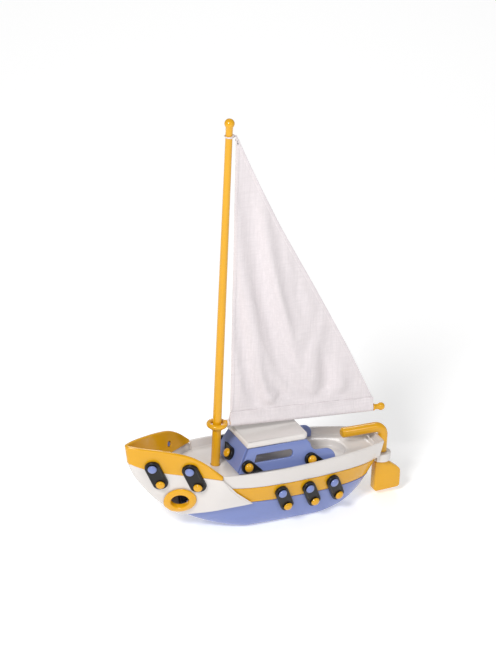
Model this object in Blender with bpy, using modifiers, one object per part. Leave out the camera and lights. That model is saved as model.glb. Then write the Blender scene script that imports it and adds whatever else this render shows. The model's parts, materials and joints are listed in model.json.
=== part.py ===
"""Toy sailing boat, a snap-together plastic kit with a cloth sail.

The bow points to -X, port is -Y and +Z is up. The origin is the middle of the flat keel face that the boat
stands on. Sizes are in millimetres here, and point() turns them into Blender's metres.
"""

import math

import bmesh
import bpy
from mathutils import Matrix, Vector

MM = 0.001
GAP = 0.3
FIT = 0.35

# Hull lines: stations along X, in millimetres, with what each line measures there.
KEEL_Z = ((-121.0, 76.0), (-117.5, 59.0), (-107.5, 42.0), (-93.5, 26.5), (-79.0, 15.5), (-60.0, 6.5),
          (-42.0, 1.8), (-28.0, 0.0), (22.0, 0.0), (40.0, 1.9), (54.0, 6.8), (66.0, 15.6), (75.0, 29.0))
KEEL_HALF = ((-121.0, 1.0), (-100.0, 1.4), (-80.0, 2.4), (-60.0, 5.0), (-28.0, 11.0), (22.0, 11.0),
             (45.0, 8.0), (60.0, 4.0), (68.0, 1.2), (75.0, 0.4))
SHEER_HALF = ((-121.0, 1.0), (-115.0, 5.2), (-98.6, 13.2), (-87.0, 18.6), (-75.6, 24.4), (-64.0, 29.4),
              (-54.0, 32.0), (-36.0, 33.2), (-18.0, 32.8), (3.6, 30.8), (25.0, 27.5), (46.8, 22.6),
              (62.0, 18.2), (77.0, 12.4))
BULWARK_TOP_Z = ((-121.0, 75.0), (-104.0, 73.4), (-93.0, 71.9), (-81.4, 69.2), (-75.6, 66.5),
                 (-69.8, 62.7), (-64.0, 57.9), (-59.5, 53.7))
BULWARK_LOW_Z = ((-121.0, 61.4), (-113.0, 57.7), (-104.0, 54.9), (-92.0, 53.1), (-80.0, 52.4), (-58.0, 51.8))
FULLNESS = ((-121.0, 1.0), (-95.0, 0.8), (-70.0, 0.62), (-40.0, 0.52), (0.0, 0.5), (40.0, 0.52), (75.0, 0.6))
RIM_LOW_Z = ((-62.0, 42.6), (-24.0, 39.6), (8.0, 38.1), (34.0, 36.9), (63.0, 34.9), (77.0, 33.6))
SEAM_Z = ((-84.0, 28.0), (-36.0, 26.6), (-14.0, 25.2), (11.0, 24.2), (46.0, 22.6), (69.0, 21.6))
# Outline of one cheek of the bow shell, as (x, z): its aft edge and its lower edge both run to the tail.
CHEEK_AFT = ((-59.9, 51.7), (-54.5, 44.0), (-50.1, 38.8), (-43.5, 32.9), (-34.5, 27.1))
CHEEK_LOW = ((-78.0, 14.9), (-65.7, 19.3), (-50.9, 24.3), (-34.5, 26.7))

BULWARK_STEM_Z, SHELL_STEM_Z, STEM_CROWDING = (61.6, 75.0), 61.2, 1.5
RIM_Z_AT_BREAK = 53.7
RIM_SLOPE = 0.03
RIM_FROM, TRANSOM_X, RIM_FLARE = -59.5, 77.0, 0.35
FOREDECK_FROM = -106.0
DECK_DROP, WELL_DROP = 5.7, 12.2
WALL = 2.2
RIM_INSET, HULL_INSET = 0.2, 0.5
DECK_PLATE = 2.0
BOW_PLATE = 4.0
BOW_PROUD, BOW_SHELL_WALL, BULWARK_WALL = 1.7, 1.2, 2.5
HULL_FROM, HULL_TO = -77.0, 69.0
BAND_FROM, BAND_TO = -66.0, 74.0
WELL_FROM, WELL_TO, WELL_LEDGE = -40.0, 50.0, 8.0
SHELF_FROM, SHELF_TO, SHELF_RISE = 70.6, 76.0, 1.6

FOREDECK_TO, FOREDECK_INSET, BOWL_WALL, WELL_END_SPAN = -50.0, 1.3, 1.8, 12.0

MAST_X, MAST_FOOT_R, MAST_TOP_R, MAST_BALL_R = -52.0, 3.3, 2.5, 3.6
MAST_FOOT_Z, MAST_BALL_Z = 30.0, 310.2
MAST_BOSS_R = 6.5
SEAT_LIP, SEAT_BEVEL, SEAT_DEPTH, SEAT_SPAN = 1.3, 0.3, 1.5, 2.0
BOOM_Z, BOOM_END_X, BOOM_END_Z = 79.9, 78.6, 71.9
BOOM_R, BOOM_BALL_R, BOOM_RING_R, BOOM_RING_TUBE = 2.0, 2.9, 5.8, 1.8
COLLAR_FROM_END, COLLAR_RISE, COLLAR_LENGTH = 5.4, 0.6, 1.4
SLEEVE_IN, SLEEVE_OUT, SLEEVE_OVERLAP = 2.4, 3.2, 0.4
CLEW_HEIGHT = 8.0
SAIL_THICK, SAIL_HEAD, SAIL_TACK_X, SAIL_CLEW_X = 1.0, (-46.6, 301.8), -42.5, 71.2
LOOP_R, LOOP_TUBE = 3.9, 0.5

RUDDER_X, LUG_R, LUG_LOW, LUG_HIGH, LUG_WEB_HALF = 81.4, 7.0, 28.6, 35.0, 5.5
TILLER_R, TILLER_Z, TILLER_TIP_X, TILLER_BEND, SHAFT_R, SHAFT_LOW = 3.6, 55.4, 47.5, 6.5, 2.2, 13.6
TILLER_TIP_STEPS, TILLER_TIP_SHARES = (0.0, 0.5, 1.5, 3.4), (0.35, 0.62, 0.85)
BLADE_THICK, BLADE_FROM, BLADE_TO, BLADE_LOW, BLADE_HIGH = 7.2, 75.7, 96.6, 3.6, 28.1
BLADE_AFT_Z, BLADE_ROUND_LOW, BLADE_ROUND_AFT, BLADE_RAKE, BLADE_TOP_RUN = 21.4, 2.4, 4.5, 0.8, 4.0

CABIN_TOP_Z, CABIN_TOP_HALF, CABIN_TUMBLE, CABIN_RAKE = 65.6, 18.0, 0.2, 0.49
CABIN_FRONT_X, CABIN_WALL = -35.2, 2.2
CABIN_SIDE_FROM, CABIN_FOOT_X, CABIN_FRONT_FOOT_X, CABIN_AFT_X = -34.3, -43.0, -46.0, 33.4
ROOF_SEAT, ROOF_SEAT_TO = -0.1, 11.0
# A cabin wall's round notch, its round tail and its window, as (x, height under the roof) and radius.
NOTCH_AT, NOTCH_R, TAIL_AT, TAIL_R = (19.5, -3.6), 5.6, (25.5, -17.0), 7.6
WINDOW_FORE, WINDOW_END, WINDOW_END_R = ((-27.6, -11.2), (-30.8, -11.2), (-28.8, -5.4)), (-3.0, -7.6), 2.9
ROOF_THICK, ROOF_AFT_X, ROOF_HALF, ROOF_CORNER, ROOF_EDGE_R, ROOF_OVERHANG = 4.6, 12.0, 19.0, 4.0, 1.3, 1.2

PIN_HEAD_R, PIN_HEAD_H, PIN_R, PIN_COLLAR_R, HOLE_R, PIN_STANDOFF = 3.3, 2.2, 1.9, 2.25, 2.4, 0.25
SHORT_PIN, LONG_PIN = 1.9, 4.4
CLIP_SPACING, CLIP_R, CLIP_THICK, CLIP_LEAN = 15.6, 5.0, 2.4, 26.0
EYELET_R, SIDE_TAILS, FRONT_TAIL = 4.9, ((11.6, -4.6), (10.2, -2.4)), (-11.0, 4.4)
CABIN_PINS, FRONT_PIN, CABIN_PIN_LENGTH = ((-36.3, -12.8), (13.3, -15.0)), (0.6, -12.3), 7.0
BOW_CLIPS, SIDE_CLIPS = ((-100.9, 53.1), (-76.9, 52.7)), ((-8.7, 25.6), (13.9, 24.2), (34.5, 23.8))
HAWSE_AT, HAWSE_R, HAWSE_HOLE_R, HAWSE_WRAP = (-82.7, 30.8), 11.7, 6.5, 0.75

YELLOW = (0.75, 0.36, 0.02, 1.0)
BLUE = (0.20, 0.24, 0.58, 1.0)
WHITE = (0.74, 0.70, 0.67, 1.0)
BLACK = (0.012, 0.012, 0.013, 1.0)
CLOTH = (0.72, 0.67, 0.70, 1.0)


def fair(stations):
    """A smooth curve through (x, value) stations that doesn't overshoot them."""
    xs = [s[0] for s in stations]
    ys = [s[1] for s in stations]
    steps = [b - a for a, b in zip(xs, xs[1:])]
    slopes = [(b - a) / h for a, b, h in zip(ys, ys[1:], steps)]
    tangents = [slopes[0]]
    for before, after, h0, h1 in zip(slopes, slopes[1:], steps, steps[1:]):
        if before * after <= 0:
            tangents.append(0.0)
            continue
        w0, w1 = 2 * h1 + h0, h1 + 2 * h0
        tangents.append((w0 + w1) / (w0 / before + w1 / after))
    tangents.append(slopes[-1])

    def value(x):
        i = sum(x >= edge for edge in xs[1:-1])
        t = min(max((x - xs[i]) / steps[i], 0.0), 1.0)
        rise = t * t * (3 - 2 * t)
        lean = t * (1 - t) * (tangents[i] * (1 - t) - tangents[i + 1] * t)
        return ys[i] + (ys[i + 1] - ys[i]) * rise + steps[i] * lean

    return value


keel_z = fair(KEEL_Z)
keel_half = fair(KEEL_HALF)
sheer_half = fair(SHEER_HALF)
bulwark_top_z = fair(BULWARK_TOP_Z)
bulwark_low_z = fair(BULWARK_LOW_Z)
fullness = fair(FULLNESS)
rim_low_z = fair(RIM_LOW_Z)
seam_z = fair(SEAM_Z)


def rim_z(x):
    return RIM_Z_AT_BREAK - RIM_SLOPE * (x - RIM_FROM)


def deck_z(x):
    return rim_z(x) - DECK_DROP


def top_z(x):
    return bulwark_top_z(x) if x < RIM_FROM else rim_z(x)


def half(x, z):
    """Half-breadth of the hull's skin at station x and height z."""
    rise = max(top_z(x) - keel_z(x), 1.0)
    share = min(max((z - keel_z(x)) / rise, 0.0), 1.4)
    return keel_half(x) + (sheer_half(x) - keel_half(x)) * share ** fullness(x)


def tub_half(x, z):
    """Half-breadth of the deck tub, whose rim stays wide at the stern where the hull narrows."""
    if x < RIM_FROM:
        return half(x, z)
    return max(half(x, z), sheer_half(x) - RIM_FLARE * (rim_z(x) - z))


def skin(x, z, side):
    return Vector((x, side * half(x, z), z))


def skin_frame(x, z, side):
    """The skin's outward normal, its fore-and-aft and its upward tangent at (x, z)."""
    step = 0.5
    along = (skin(x + step, z, side) - skin(x - step, z, side)).normalized()
    up = (skin(x, z + step, side) - skin(x, z - step, side)).normalized()
    out = along.cross(up).normalized()
    if out.y * side < 0:
        out = -out
    return out, along, up


def off_skin(x, z, side, height):
    return skin(x, z, side) + skin_frame(x, z, side)[0] * height


def spread(start, end, count):
    return [start + (end - start) * i / (count - 1) for i in range(count)]


# Blender helpers ------------------------------------------------------------------------------------------


def clear_scene():
    for thing in list(bpy.data.objects):
        bpy.data.objects.remove(thing, do_unlink=True)


def new_collection(name):
    collection = bpy.data.collections.new(name)
    bpy.context.scene.collection.children.link(collection)
    return collection


def plastic(name, colour, roughness):
    material = bpy.data.materials.new(name)
    material.use_nodes = True
    shader = material.node_tree.nodes["Principled BSDF"]
    shader.inputs["Base Color"].default_value = colour
    shader.inputs["Roughness"].default_value = roughness
    shader.inputs["Metallic"].default_value = 0.0
    return material


def smooth(mesh, degrees=35):
    mesh.shade_smooth()
    mesh.set_sharp_from_angle(angle=math.radians(degrees))


def point(p):
    return Vector(p) * MM


def mesh_of(name, verts, faces):
    """A mesh from millimetre points, welded where points meet, with its faces outward."""
    mesh = bpy.data.meshes.new(name)
    mesh.from_pydata([point(v) for v in verts], [], faces)
    weld(mesh)
    smooth(mesh)
    return mesh


def weld(mesh):
    bm = bmesh.new()
    bm.from_mesh(mesh)
    bmesh.ops.remove_doubles(bm, verts=bm.verts, dist=0.01 * MM)
    bmesh.ops.dissolve_degenerate(bm, edges=bm.edges, dist=0.005 * MM)
    bmesh.ops.recalc_face_normals(bm, faces=bm.faces)
    bm.to_mesh(mesh)
    bm.free()


def place(name, mesh, material=None, collection=None):
    thing = bpy.data.objects.new(name, mesh)
    (collection or parts).objects.link(thing)
    if material:
        if thing.data.materials:
            thing.data.materials[0] = material
        else:
            thing.data.materials.append(material)
    return thing


def cutter(name, mesh):
    thing = place(name, mesh, collection=cutters)
    thing.hide_render = True
    thing.display_type = "WIRE"
    return thing


def boolean(thing, other, operation):
    modifier = thing.modifiers.new(operation.title(), "BOOLEAN")
    modifier.operation = operation
    modifier.object = other


def loft(name, sections):
    """A closed solid through closed loops that have the same number of points."""
    count = len(sections[0])
    verts = [v for loop in sections for v in loop]
    faces = [tuple(range(count)), tuple(range(len(verts) - count, len(verts)))]
    for row in range(len(sections) - 1):
        for k in range(count):
            a, b = row * count + k, row * count + (k + 1) % count
            faces.append((a, b, b + count, a + count))
    return mesh_of(name, verts, faces)


def sheet(name, rows):
    """An open surface through rows of points."""
    count = len(rows[0])
    verts = [v for row in rows for v in row]
    faces = []
    for i in range(len(rows) - 1):
        for k in range(count - 1):
            a = i * count + k
            faces.append((a, a + 1, a + count + 1, a + count))
    return mesh_of(name, verts, faces)


def turned(name, profile, steps, close_loop=False):
    """A round solid about +Z from a profile of (radius, height), from the top down the outer side."""
    mesh = bpy.data.meshes.new(name + "_profile")
    edges = [(i, i + 1) for i in range(len(profile) - 1)]
    if close_loop:
        edges.append((len(profile) - 1, 0))
    mesh.from_pydata([point((r, 0, z)) for r, z in profile], edges, [])
    thing = place(name + "_profile", mesh, collection=cutters)
    screw = thing.modifiers.new("Screw", "SCREW")
    screw.steps = steps
    screw.render_steps = steps
    screw.use_merge_vertices = True
    screw.merge_threshold = 0.00001
    return baked(name, thing)


def baked(name, thing):
    """The evaluated mesh of a helper object, which is then removed."""
    bpy.context.view_layer.update()
    evaluated = thing.evaluated_get(bpy.context.evaluated_depsgraph_get())
    mesh = bpy.data.meshes.new_from_object(evaluated)
    mesh.name = name
    mesh.transform(thing.matrix_world)
    bpy.data.objects.remove(thing, do_unlink=True)
    weld(mesh)
    smooth(mesh)
    return mesh


def circle(radius, count, centre=(0.0, 0.0)):
    angles = [2 * math.pi * i / count for i in range(count)]
    return [(centre[0] + radius * math.cos(a), centre[1] + radius * math.sin(a)) for a in angles]


def arc(centre, radius, start, end, count):
    angles = [math.radians(a) for a in spread(start, end, count)]
    return [(centre[0] + radius * math.cos(a), centre[1] + radius * math.sin(a)) for a in angles]


def plate(name, loops, thickness):
    """A flat plate in the XY plane between z = 0 and its thickness. The first loop is the outline."""
    curve = bpy.data.curves.new(name + "_outline", "CURVE")
    curve.dimensions = "2D"
    curve.fill_mode = "BOTH"
    curve.extrude = thickness * MM / 2
    for loop in loops:
        spline = curve.splines.new("POLY")
        spline.points.add(len(loop) - 1)
        spline.use_cyclic_u = True
        for control, (x, y) in zip(spline.points, loop):
            control.co = (x * MM, y * MM, 0.0, 1.0)
    thing = place(name + "_outline", curve, collection=cutters)
    thing.location.z = thickness * MM / 2
    return baked(name, thing)


def bent(mesh, rule):
    """Moves each point of a flat millimetre plate by a rule from (x, y, z) to a place on the skin."""
    for vertex in mesh.vertices:
        vertex.co = point(rule(*(vertex.co / MM)))
    weld(mesh)
    smooth(mesh)
    return mesh


def frame_matrix(origin, x_axis, y_axis, z_axis):
    matrix = Matrix((x_axis, y_axis, z_axis)).transposed().to_4x4()
    matrix.translation = point(origin)
    return matrix


def tube(name, path, radius, radii=None, resolution=3):
    """A round bar through a path of points, with closed ends."""
    curve = bpy.data.curves.new(name + "_path", "CURVE")
    curve.dimensions = "3D"
    curve.bevel_depth = radius * MM
    curve.bevel_resolution = resolution
    curve.use_fill_caps = True
    spline = curve.splines.new("POLY")
    spline.points.add(len(path) - 1)
    for i, (control, p) in enumerate(zip(spline.points, path)):
        control.co = (*point(p), 1.0)
        control.radius = radii[i] if radii else 1.0
    return baked(name, place(name + "_path", curve, collection=cutters))


def cylinder(name, radius, low, high, centre=(0.0, 0.0), sides=24):
    bm = bmesh.new()
    bmesh.ops.create_cone(bm, cap_ends=True, segments=sides, radius1=radius * MM, radius2=radius * MM,
                          depth=(high - low) * MM)
    bmesh.ops.translate(bm, vec=point((*centre, (low + high) / 2)), verts=bm.verts)
    mesh = bpy.data.meshes.new(name)
    bm.to_mesh(mesh)
    bm.free()
    smooth(mesh)
    return mesh


def box(name, low, high):
    bm = bmesh.new()
    bmesh.ops.create_cube(bm, size=1.0)
    size = Vector(high) - Vector(low)
    bmesh.ops.scale(bm, vec=size * MM, verts=bm.verts)
    bmesh.ops.translate(bm, vec=point((Vector(high) + Vector(low)) / 2), verts=bm.verts)
    mesh = bpy.data.meshes.new(name)
    bm.to_mesh(mesh)
    bm.free()
    return mesh


# Hull -----------------------------------------------------------------------------------------------------


def hull_loop(x, low, high, inset, rows):
    """A U-shaped section of the hull from the sheer to the keel and up again, set in by a wall."""
    right = []
    for s in spread(1.0, 0.0, rows):
        z = low + (high - low) * s * s
        right.append((x, max(half(x, z) - inset, 0.3), z))
    left = [(x, -y, z) for x, y, z in reversed(right)]
    return right + left


def build_hull_bottom():
    stations = spread(HULL_FROM, 22.0, 15) + spread(30.0, HULL_TO, 7)
    outer = [hull_loop(x, keel_z(x), max(seam_z(x), keel_z(x) + 0.4), HULL_INSET, 7) for x in stations]
    hull = place("hull_bottom", loft("hull_bottom", outer), blue)
    inner_stations = spread(HULL_FROM - 2, 22.0, 12) + spread(30.0, 58.0, 5)
    inner = [hull_loop(x, keel_z(x) + WALL, seam_z(x) + 4, WALL + HULL_INSET, 6) for x in inner_stations]
    boolean(hull, cutter("hull_bottom_cavity", loft("hull_bottom_cavity", inner)), "DIFFERENCE")
    return hull


def build_side_band(name, side):
    stations = spread(BAND_FROM, 62.0, 16) + spread(65.5, BAND_TO, 4)
    sections = []
    for x in stations:
        low = max(seam_z(x) + GAP, keel_z(x) + 0.1)
        high = rim_low_z(x) - GAP
        heights = spread(low, high, 3)
        outer = [(x, side * max(half(x, z) - HULL_INSET, 0.5), z) for z in heights]
        inner = [(x, side * max(half(x, z) - HULL_INSET - WALL, 0.2), z) for z in reversed(heights)]
        sections.append(outer + inner)
    return place(name, loft(name, sections), yellow)


def stem_x(z):
    """Where the stem crosses a height, found by halving."""
    fore, aft = KEEL_Z[0][0], -28.0
    for _ in range(30):
        middle = (fore + aft) / 2
        if keel_z(middle) > z:
            fore = middle
        else:
            aft = middle
    return aft


def both_sides(half_row):
    """A row that starts on the centre line, mirrored to port."""
    return [(x, -y, z) for x, y, z in reversed(half_row[1:])] + half_row


def build_bow_bulwark():
    rows = []
    for share in spread(0.0, 1.0, 4):
        stem_height = BULWARK_STEM_Z[0] + share * (BULWARK_STEM_Z[1] - BULWARK_STEM_Z[0])
        start = stem_x(stem_height)
        row = [(start - 0.3, 0.0, stem_height)]
        for s in [step ** STEM_CROWDING for step in spread(0.0, 1.0, 13)]:
            x = start + (RIM_FROM - 0.6 - start) * s
            low = bulwark_low_z(x) + 0.2
            z = low + (max(top_z(x), low + 0.3) - low) * share
            row.append((x, half(x, z), z))
        rows.append(both_sides(row))
    return bow_skin("bow_bulwark", rows, BULWARK_WALL, yellow)


def along(points, share):
    """A point at a share of an open outline's length."""
    lengths = [math.dist(a, b) for a, b in zip(points, points[1:])]
    left = share * sum(lengths)
    for a, b, length in zip(points, points[1:], lengths):
        if left <= length or (a, b) == (points[-2], points[-1]):
            t = left / length
            return (a[0] + (b[0] - a[0]) * t, a[1] + (b[1] - a[1]) * t)
        left -= length
    return points[-1]


def build_bow_shell():
    """Two cheeks that meet round the stem: a patch between the stem, the top edge and the two tail edges."""
    top_from = stem_x(SHELL_STEM_Z)
    top = [(x, bulwark_low_z(x) - 0.2) for x in spread(top_from, CHEEK_AFT[0][0], 12)]
    aft = list(reversed(CHEEK_AFT))
    low = list(CHEEK_LOW)
    stem = [(x, keel_z(x)) for x in spread(low[0][0], top_from, 14)]
    stem[0], stem[-1] = low[0], top[0]
    rows = []
    for t in spread(0.0, 1.0, 9):
        row = []
        for s in [step ** STEM_CROWDING for step in spread(0.0, 1.0, 13)]:
            sides = [(along(stem, t), 1 - s), (along(aft, t), s), (along(low, s), 1 - t), (along(top, s), t)]
            corners = [(low[0], (1 - s) * (1 - t)), (low[-1], s * (1 - t)), (top[0], (1 - s) * t),
                       (top[-1], s * t)]
            x, z = (sum(p[k] * w for p, w in sides) - sum(p[k] * w for p, w in corners) for k in (0, 1))
            row.append((x, 0.0 if s == 0 else half(x, z), z))
        rows.append(both_sides(row))
    return bow_skin("bow_shell", rows, BOW_SHELL_WALL, white)


def bow_skin(name, rows, wall, material):
    """An open surface pushed out proud of the hull's skin, with a wall inwards."""
    mesh = sheet(name, rows)
    bm = bmesh.new()
    bm.from_mesh(mesh)
    bm.normal_update()
    middle = sum((f.normal.y * f.calc_center_median().y for f in bm.faces))
    outward = 1.0 if middle > 0 else -1.0
    if outward < 0:
        bmesh.ops.reverse_faces(bm, faces=bm.faces)
        bm.normal_update()
    moves = [(v, v.normal.copy()) for v in bm.verts]
    for vertex, normal in moves:
        if abs(vertex.co.y) < 1e-6:
            normal.y = 0.0
            normal.normalize()
        vertex.co += normal * BOW_PROUD * MM
    bm.to_mesh(mesh)
    bm.free()
    thing = place(name, mesh, material)
    solid = thing.modifiers.new("Wall", "SOLIDIFY")
    solid.thickness = wall * MM
    solid.offset = -1.0
    solid.use_even_offset = True
    return thing


# Deck tub -------------------------------------------------------------------------------------------------


def level_loop(x, low, high, inset, rows=3):
    right = [(x, max(tub_half(x, z) - inset, 0.4), z) for z in spread(high, low, rows)]
    return right + [(x, -y, z) for x, y, z in reversed(right)]


def well_outline(inset):
    """The cockpit well in plan: straight sides that follow the hull, and a round aft end."""
    def breadth(x):
        return half(x, deck_z(x)) - WALL - WELL_LEDGE - inset
    centre = WELL_TO - breadth(WELL_TO - WELL_END_SPAN)
    right = [(x, breadth(x)) for x in spread(WELL_FROM + inset, centre, 6)]
    end_r = breadth(centre)
    turn = [(centre + end_r * math.sin(math.radians(a)), end_r * math.cos(math.radians(a)))
            for a in (22, 45, 67, 90)]
    half_outline = right + turn
    return half_outline + [(x, -y) for x, y in reversed(half_outline[:-1])]


def upright(name, outline, low, high):
    mesh = plate(name, [outline], high - low)
    for vertex in mesh.vertices:
        vertex.co.z += low * MM
    return mesh


def build_deck_tub():
    stations = spread(RIM_FROM, BAND_TO, 19) + [TRANSOM_X]
    tub = place("deck_tub", loft("deck_tub", [
        level_loop(x, rim_low_z(x), rim_z(x), RIM_INSET) for x in stations]), white)
    bow_stations = spread(FOREDECK_FROM, FOREDECK_TO, 9)
    bow_plate = loft("foredeck", [
        level_loop(x, deck_z(x) - BOW_PLATE, deck_z(x), FOREDECK_INSET, 2) for x in bow_stations])
    boolean(tub, cutter("foredeck", bow_plate), "UNION")
    tray = loft("tray", [level_loop(x, deck_z(x), rim_z(x) + 2, WALL + RIM_INSET, 2)
                         for x in [RIM_FROM - 4] + spread(RIM_FROM, TRANSOM_X - WALL, 18)])
    boolean(tub, cutter("tray", tray), "DIFFERENCE")
    cavity = loft("cavity", [level_loop(x, rim_low_z(x) - 4, deck_z(x) - DECK_PLATE, WALL + RIM_INSET, 2)
                             for x in spread(RIM_FROM + WALL, TRANSOM_X - WALL, 18)])
    boolean(tub, cutter("cavity", cavity), "DIFFERENCE")
    floor = deck_z(0) + DECK_DROP - WELL_DROP
    bowl = upright("well_bowl", well_outline(-BOWL_WALL), floor - DECK_PLATE, deck_z(WELL_TO) - 0.5)
    boolean(tub, cutter("well_bowl", bowl), "UNION")
    well = upright("well", well_outline(0.0), floor, rim_z(RIM_FROM) + 2)
    boolean(tub, cutter("well", well), "DIFFERENCE")
    boss = cylinder("mast_boss", MAST_BOSS_R, MAST_FOOT_Z - 3, deck_z(MAST_X) - 0.5, (MAST_X, 0.0), 20)
    boolean(tub, cutter("mast_boss", boss), "UNION")
    socket = cylinder("mast_socket", MAST_FOOT_R + FIT, MAST_FOOT_Z - GAP, deck_z(MAST_X) + 5,
                      (MAST_X, 0.0), 20)
    boolean(tub, cutter("mast_socket", socket), "DIFFERENCE")
    web = box("lug_web", (TRANSOM_X - 1.6, -LUG_WEB_HALF, LUG_LOW), (RUDDER_X, LUG_WEB_HALF, LUG_HIGH))
    lug = cylinder("lug", LUG_R, LUG_LOW, LUG_HIGH, (RUDDER_X, 0.0), 24)
    boolean(tub, cutter("lug_web", web), "UNION")
    boolean(tub, cutter("lug", lug), "UNION")
    shaft_hole = cylinder("shaft_hole", SHAFT_R + FIT, LUG_LOW - 2, LUG_HIGH + 2, (RUDDER_X, 0.0), 16)
    boolean(tub, cutter("shaft_hole", shaft_hole), "DIFFERENCE")
    shelf = loft("stern_shelf", [
        level_loop(x, deck_z(x) - 1, deck_z(x) + rise, WALL - 0.5, 2)
        for x, rise in ((SHELF_FROM, -0.5), (SHELF_FROM + 1.8, SHELF_RISE), (SHELF_TO, SHELF_RISE))])
    boolean(tub, cutter("stern_shelf", shelf), "UNION")


# Cabin ----------------------------------------------------------------------------------------------------


def cabin_side_matrix(side):
    """Local X runs aft, local Y runs down to up along the leaning wall, local Z points outwards."""
    lean = math.atan(CABIN_TUMBLE)
    up = Vector((0.0, -side * math.sin(lean), math.cos(lean)))
    out = Vector((0.0, side * math.cos(lean), math.sin(lean)))
    aft = Vector((1.0, 0.0, 0.0))
    origin = Vector((0.0, side * CABIN_TOP_HALF, CABIN_TOP_Z)) - out * CABIN_WALL
    return frame_matrix(origin, aft, up, out)


def cabin_front_matrix():
    """Local X runs to port, local Y up the raked panel, local Z points forward."""
    lean = math.atan(CABIN_RAKE)
    up = Vector((math.sin(lean), 0.0, math.cos(lean)))
    out = Vector((-math.cos(lean), 0.0, math.sin(lean)))
    across = up.cross(out)
    origin = Vector((CABIN_FRONT_X, 0.0, CABIN_TOP_Z)) - out * CABIN_WALL
    return frame_matrix(origin, across, up, out)


def sill(x, slope):
    """How far down a leaning wall's own plane its foot is, just clear of the deck at station x."""
    lean = math.atan(slope)
    return -(CABIN_TOP_Z - CABIN_WALL * math.sin(lean) - deck_z(x) - GAP) / math.cos(lean)


def cabin_side_loops():
    """The wall's outline in its own plane and its window slot. Heights run down from 0 at the roof."""
    rake = CABIN_RAKE * math.cos(math.atan(CABIN_TUMBLE))
    base = sill(CABIN_FOOT_X, CABIN_TUMBLE)
    notch = arc(NOTCH_AT, NOTCH_R, 180, 270, 5)
    tail = arc(TAIL_AT, TAIL_R, 88, 8, 6)
    outline = [(CABIN_SIDE_FROM + rake * base, base), (CABIN_AFT_X, sill(CABIN_AFT_X, CABIN_TUMBLE))]
    outline += list(reversed(tail)) + list(reversed(notch))
    outline += [(ROOF_SEAT_TO, ROOF_SEAT), (CABIN_SIDE_FROM, ROOF_SEAT)]
    slot = list(WINDOW_FORE[1:]) + arc(WINDOW_END, WINDOW_END_R, 100, -90, 6) + [WINDOW_FORE[0]]
    return [outline, slot]


def build_cabin():
    walls = []
    for name, side in (("cabin_side_port", -1), ("cabin_side_starboard", 1)):
        holes = [circle(HOLE_R, 12, at) for at in CABIN_PINS]
        mesh = plate(name, cabin_side_loops() + holes, CABIN_WALL)
        matrix = cabin_side_matrix(side)
        if side < 0:
            mesh.flip_normals()
            weld(mesh)
        mesh.transform(matrix)
        weld(mesh)
        walls.append(place(name, mesh, blue))
    front_low = sill(CABIN_FRONT_FOOT_X, CABIN_RAKE)
    high = CABIN_TOP_HALF - CABIN_WALL - GAP + ROOF_SEAT
    low = high + CABIN_TUMBLE * (CABIN_TOP_Z - deck_z(CABIN_FOOT_X))
    outline = [(-low, front_low), (low, front_low), (high, ROOF_SEAT), (-high, ROOF_SEAT)]
    mesh = plate("cabin_front", [outline, circle(HOLE_R, 12, FRONT_PIN)], CABIN_WALL)
    mesh.transform(cabin_front_matrix())
    weld(mesh)
    place("cabin_front", mesh, blue)
    build_roof()


def build_roof():
    plan = [(CABIN_FRONT_X - ROOF_OVERHANG, ROOF_HALF)]
    plan += arc((ROOF_AFT_X - ROOF_CORNER, ROOF_HALF - ROOF_CORNER), ROOF_CORNER, 90, 0, 5)
    outline = plan + [(x, -y) for x, y in reversed(plan)]
    mesh = plate("cabin_roof", [outline], ROOF_THICK)
    mesh.transform(Matrix.Translation(point((0, 0, CABIN_TOP_Z + GAP))))
    roof = place("cabin_roof", mesh, white)
    edge = roof.modifiers.new("Round edge", "BEVEL")
    edge.width = ROOF_EDGE_R * MM
    edge.segments = 2
    edge.limit_method = "ANGLE"
    edge.angle_limit = math.radians(50)
    return roof


# Clips and pins -------------------------------------------------------------------------------------------


def pin_mesh(name, length):
    head = [(0.0, PIN_HEAD_H), (PIN_HEAD_R * 0.62, PIN_HEAD_H * 0.82), (PIN_HEAD_R, PIN_HEAD_H * 0.22),
            (PIN_HEAD_R, 0.0), (PIN_R, 0.0)]
    tip = [(PIN_R, -length + 1.8), (PIN_COLLAR_R, -length + 1.2), (PIN_R - 0.3, -length), (0.0, -length)]
    return turned(name, head + tip, 12)


def set_pin(name, material, origin, out, length):
    """A pin whose head rests on a clip at origin and whose shank runs inwards."""
    thing = place(name, pin_mesh(name, length), material)
    thing.matrix_world = Matrix.Translation(point(origin)) @ out.to_track_quat("Z", "Y").to_matrix().to_4x4()
    return thing


def hole_mesh(name, origin, out, radius, inward, outward):
    mesh = cylinder(name, radius, -inward, outward, sides=12)
    mesh.transform(Matrix.Translation(point(origin)) @ out.to_track_quat("Z", "Y").to_matrix().to_4x4())
    return cutter(name, mesh)


def stadium(length, radius, count=7):
    return arc((0.0, length / 2), radius, 0, 180, count) + arc((0.0, -length / 2), radius, 180, 360, count)


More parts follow.
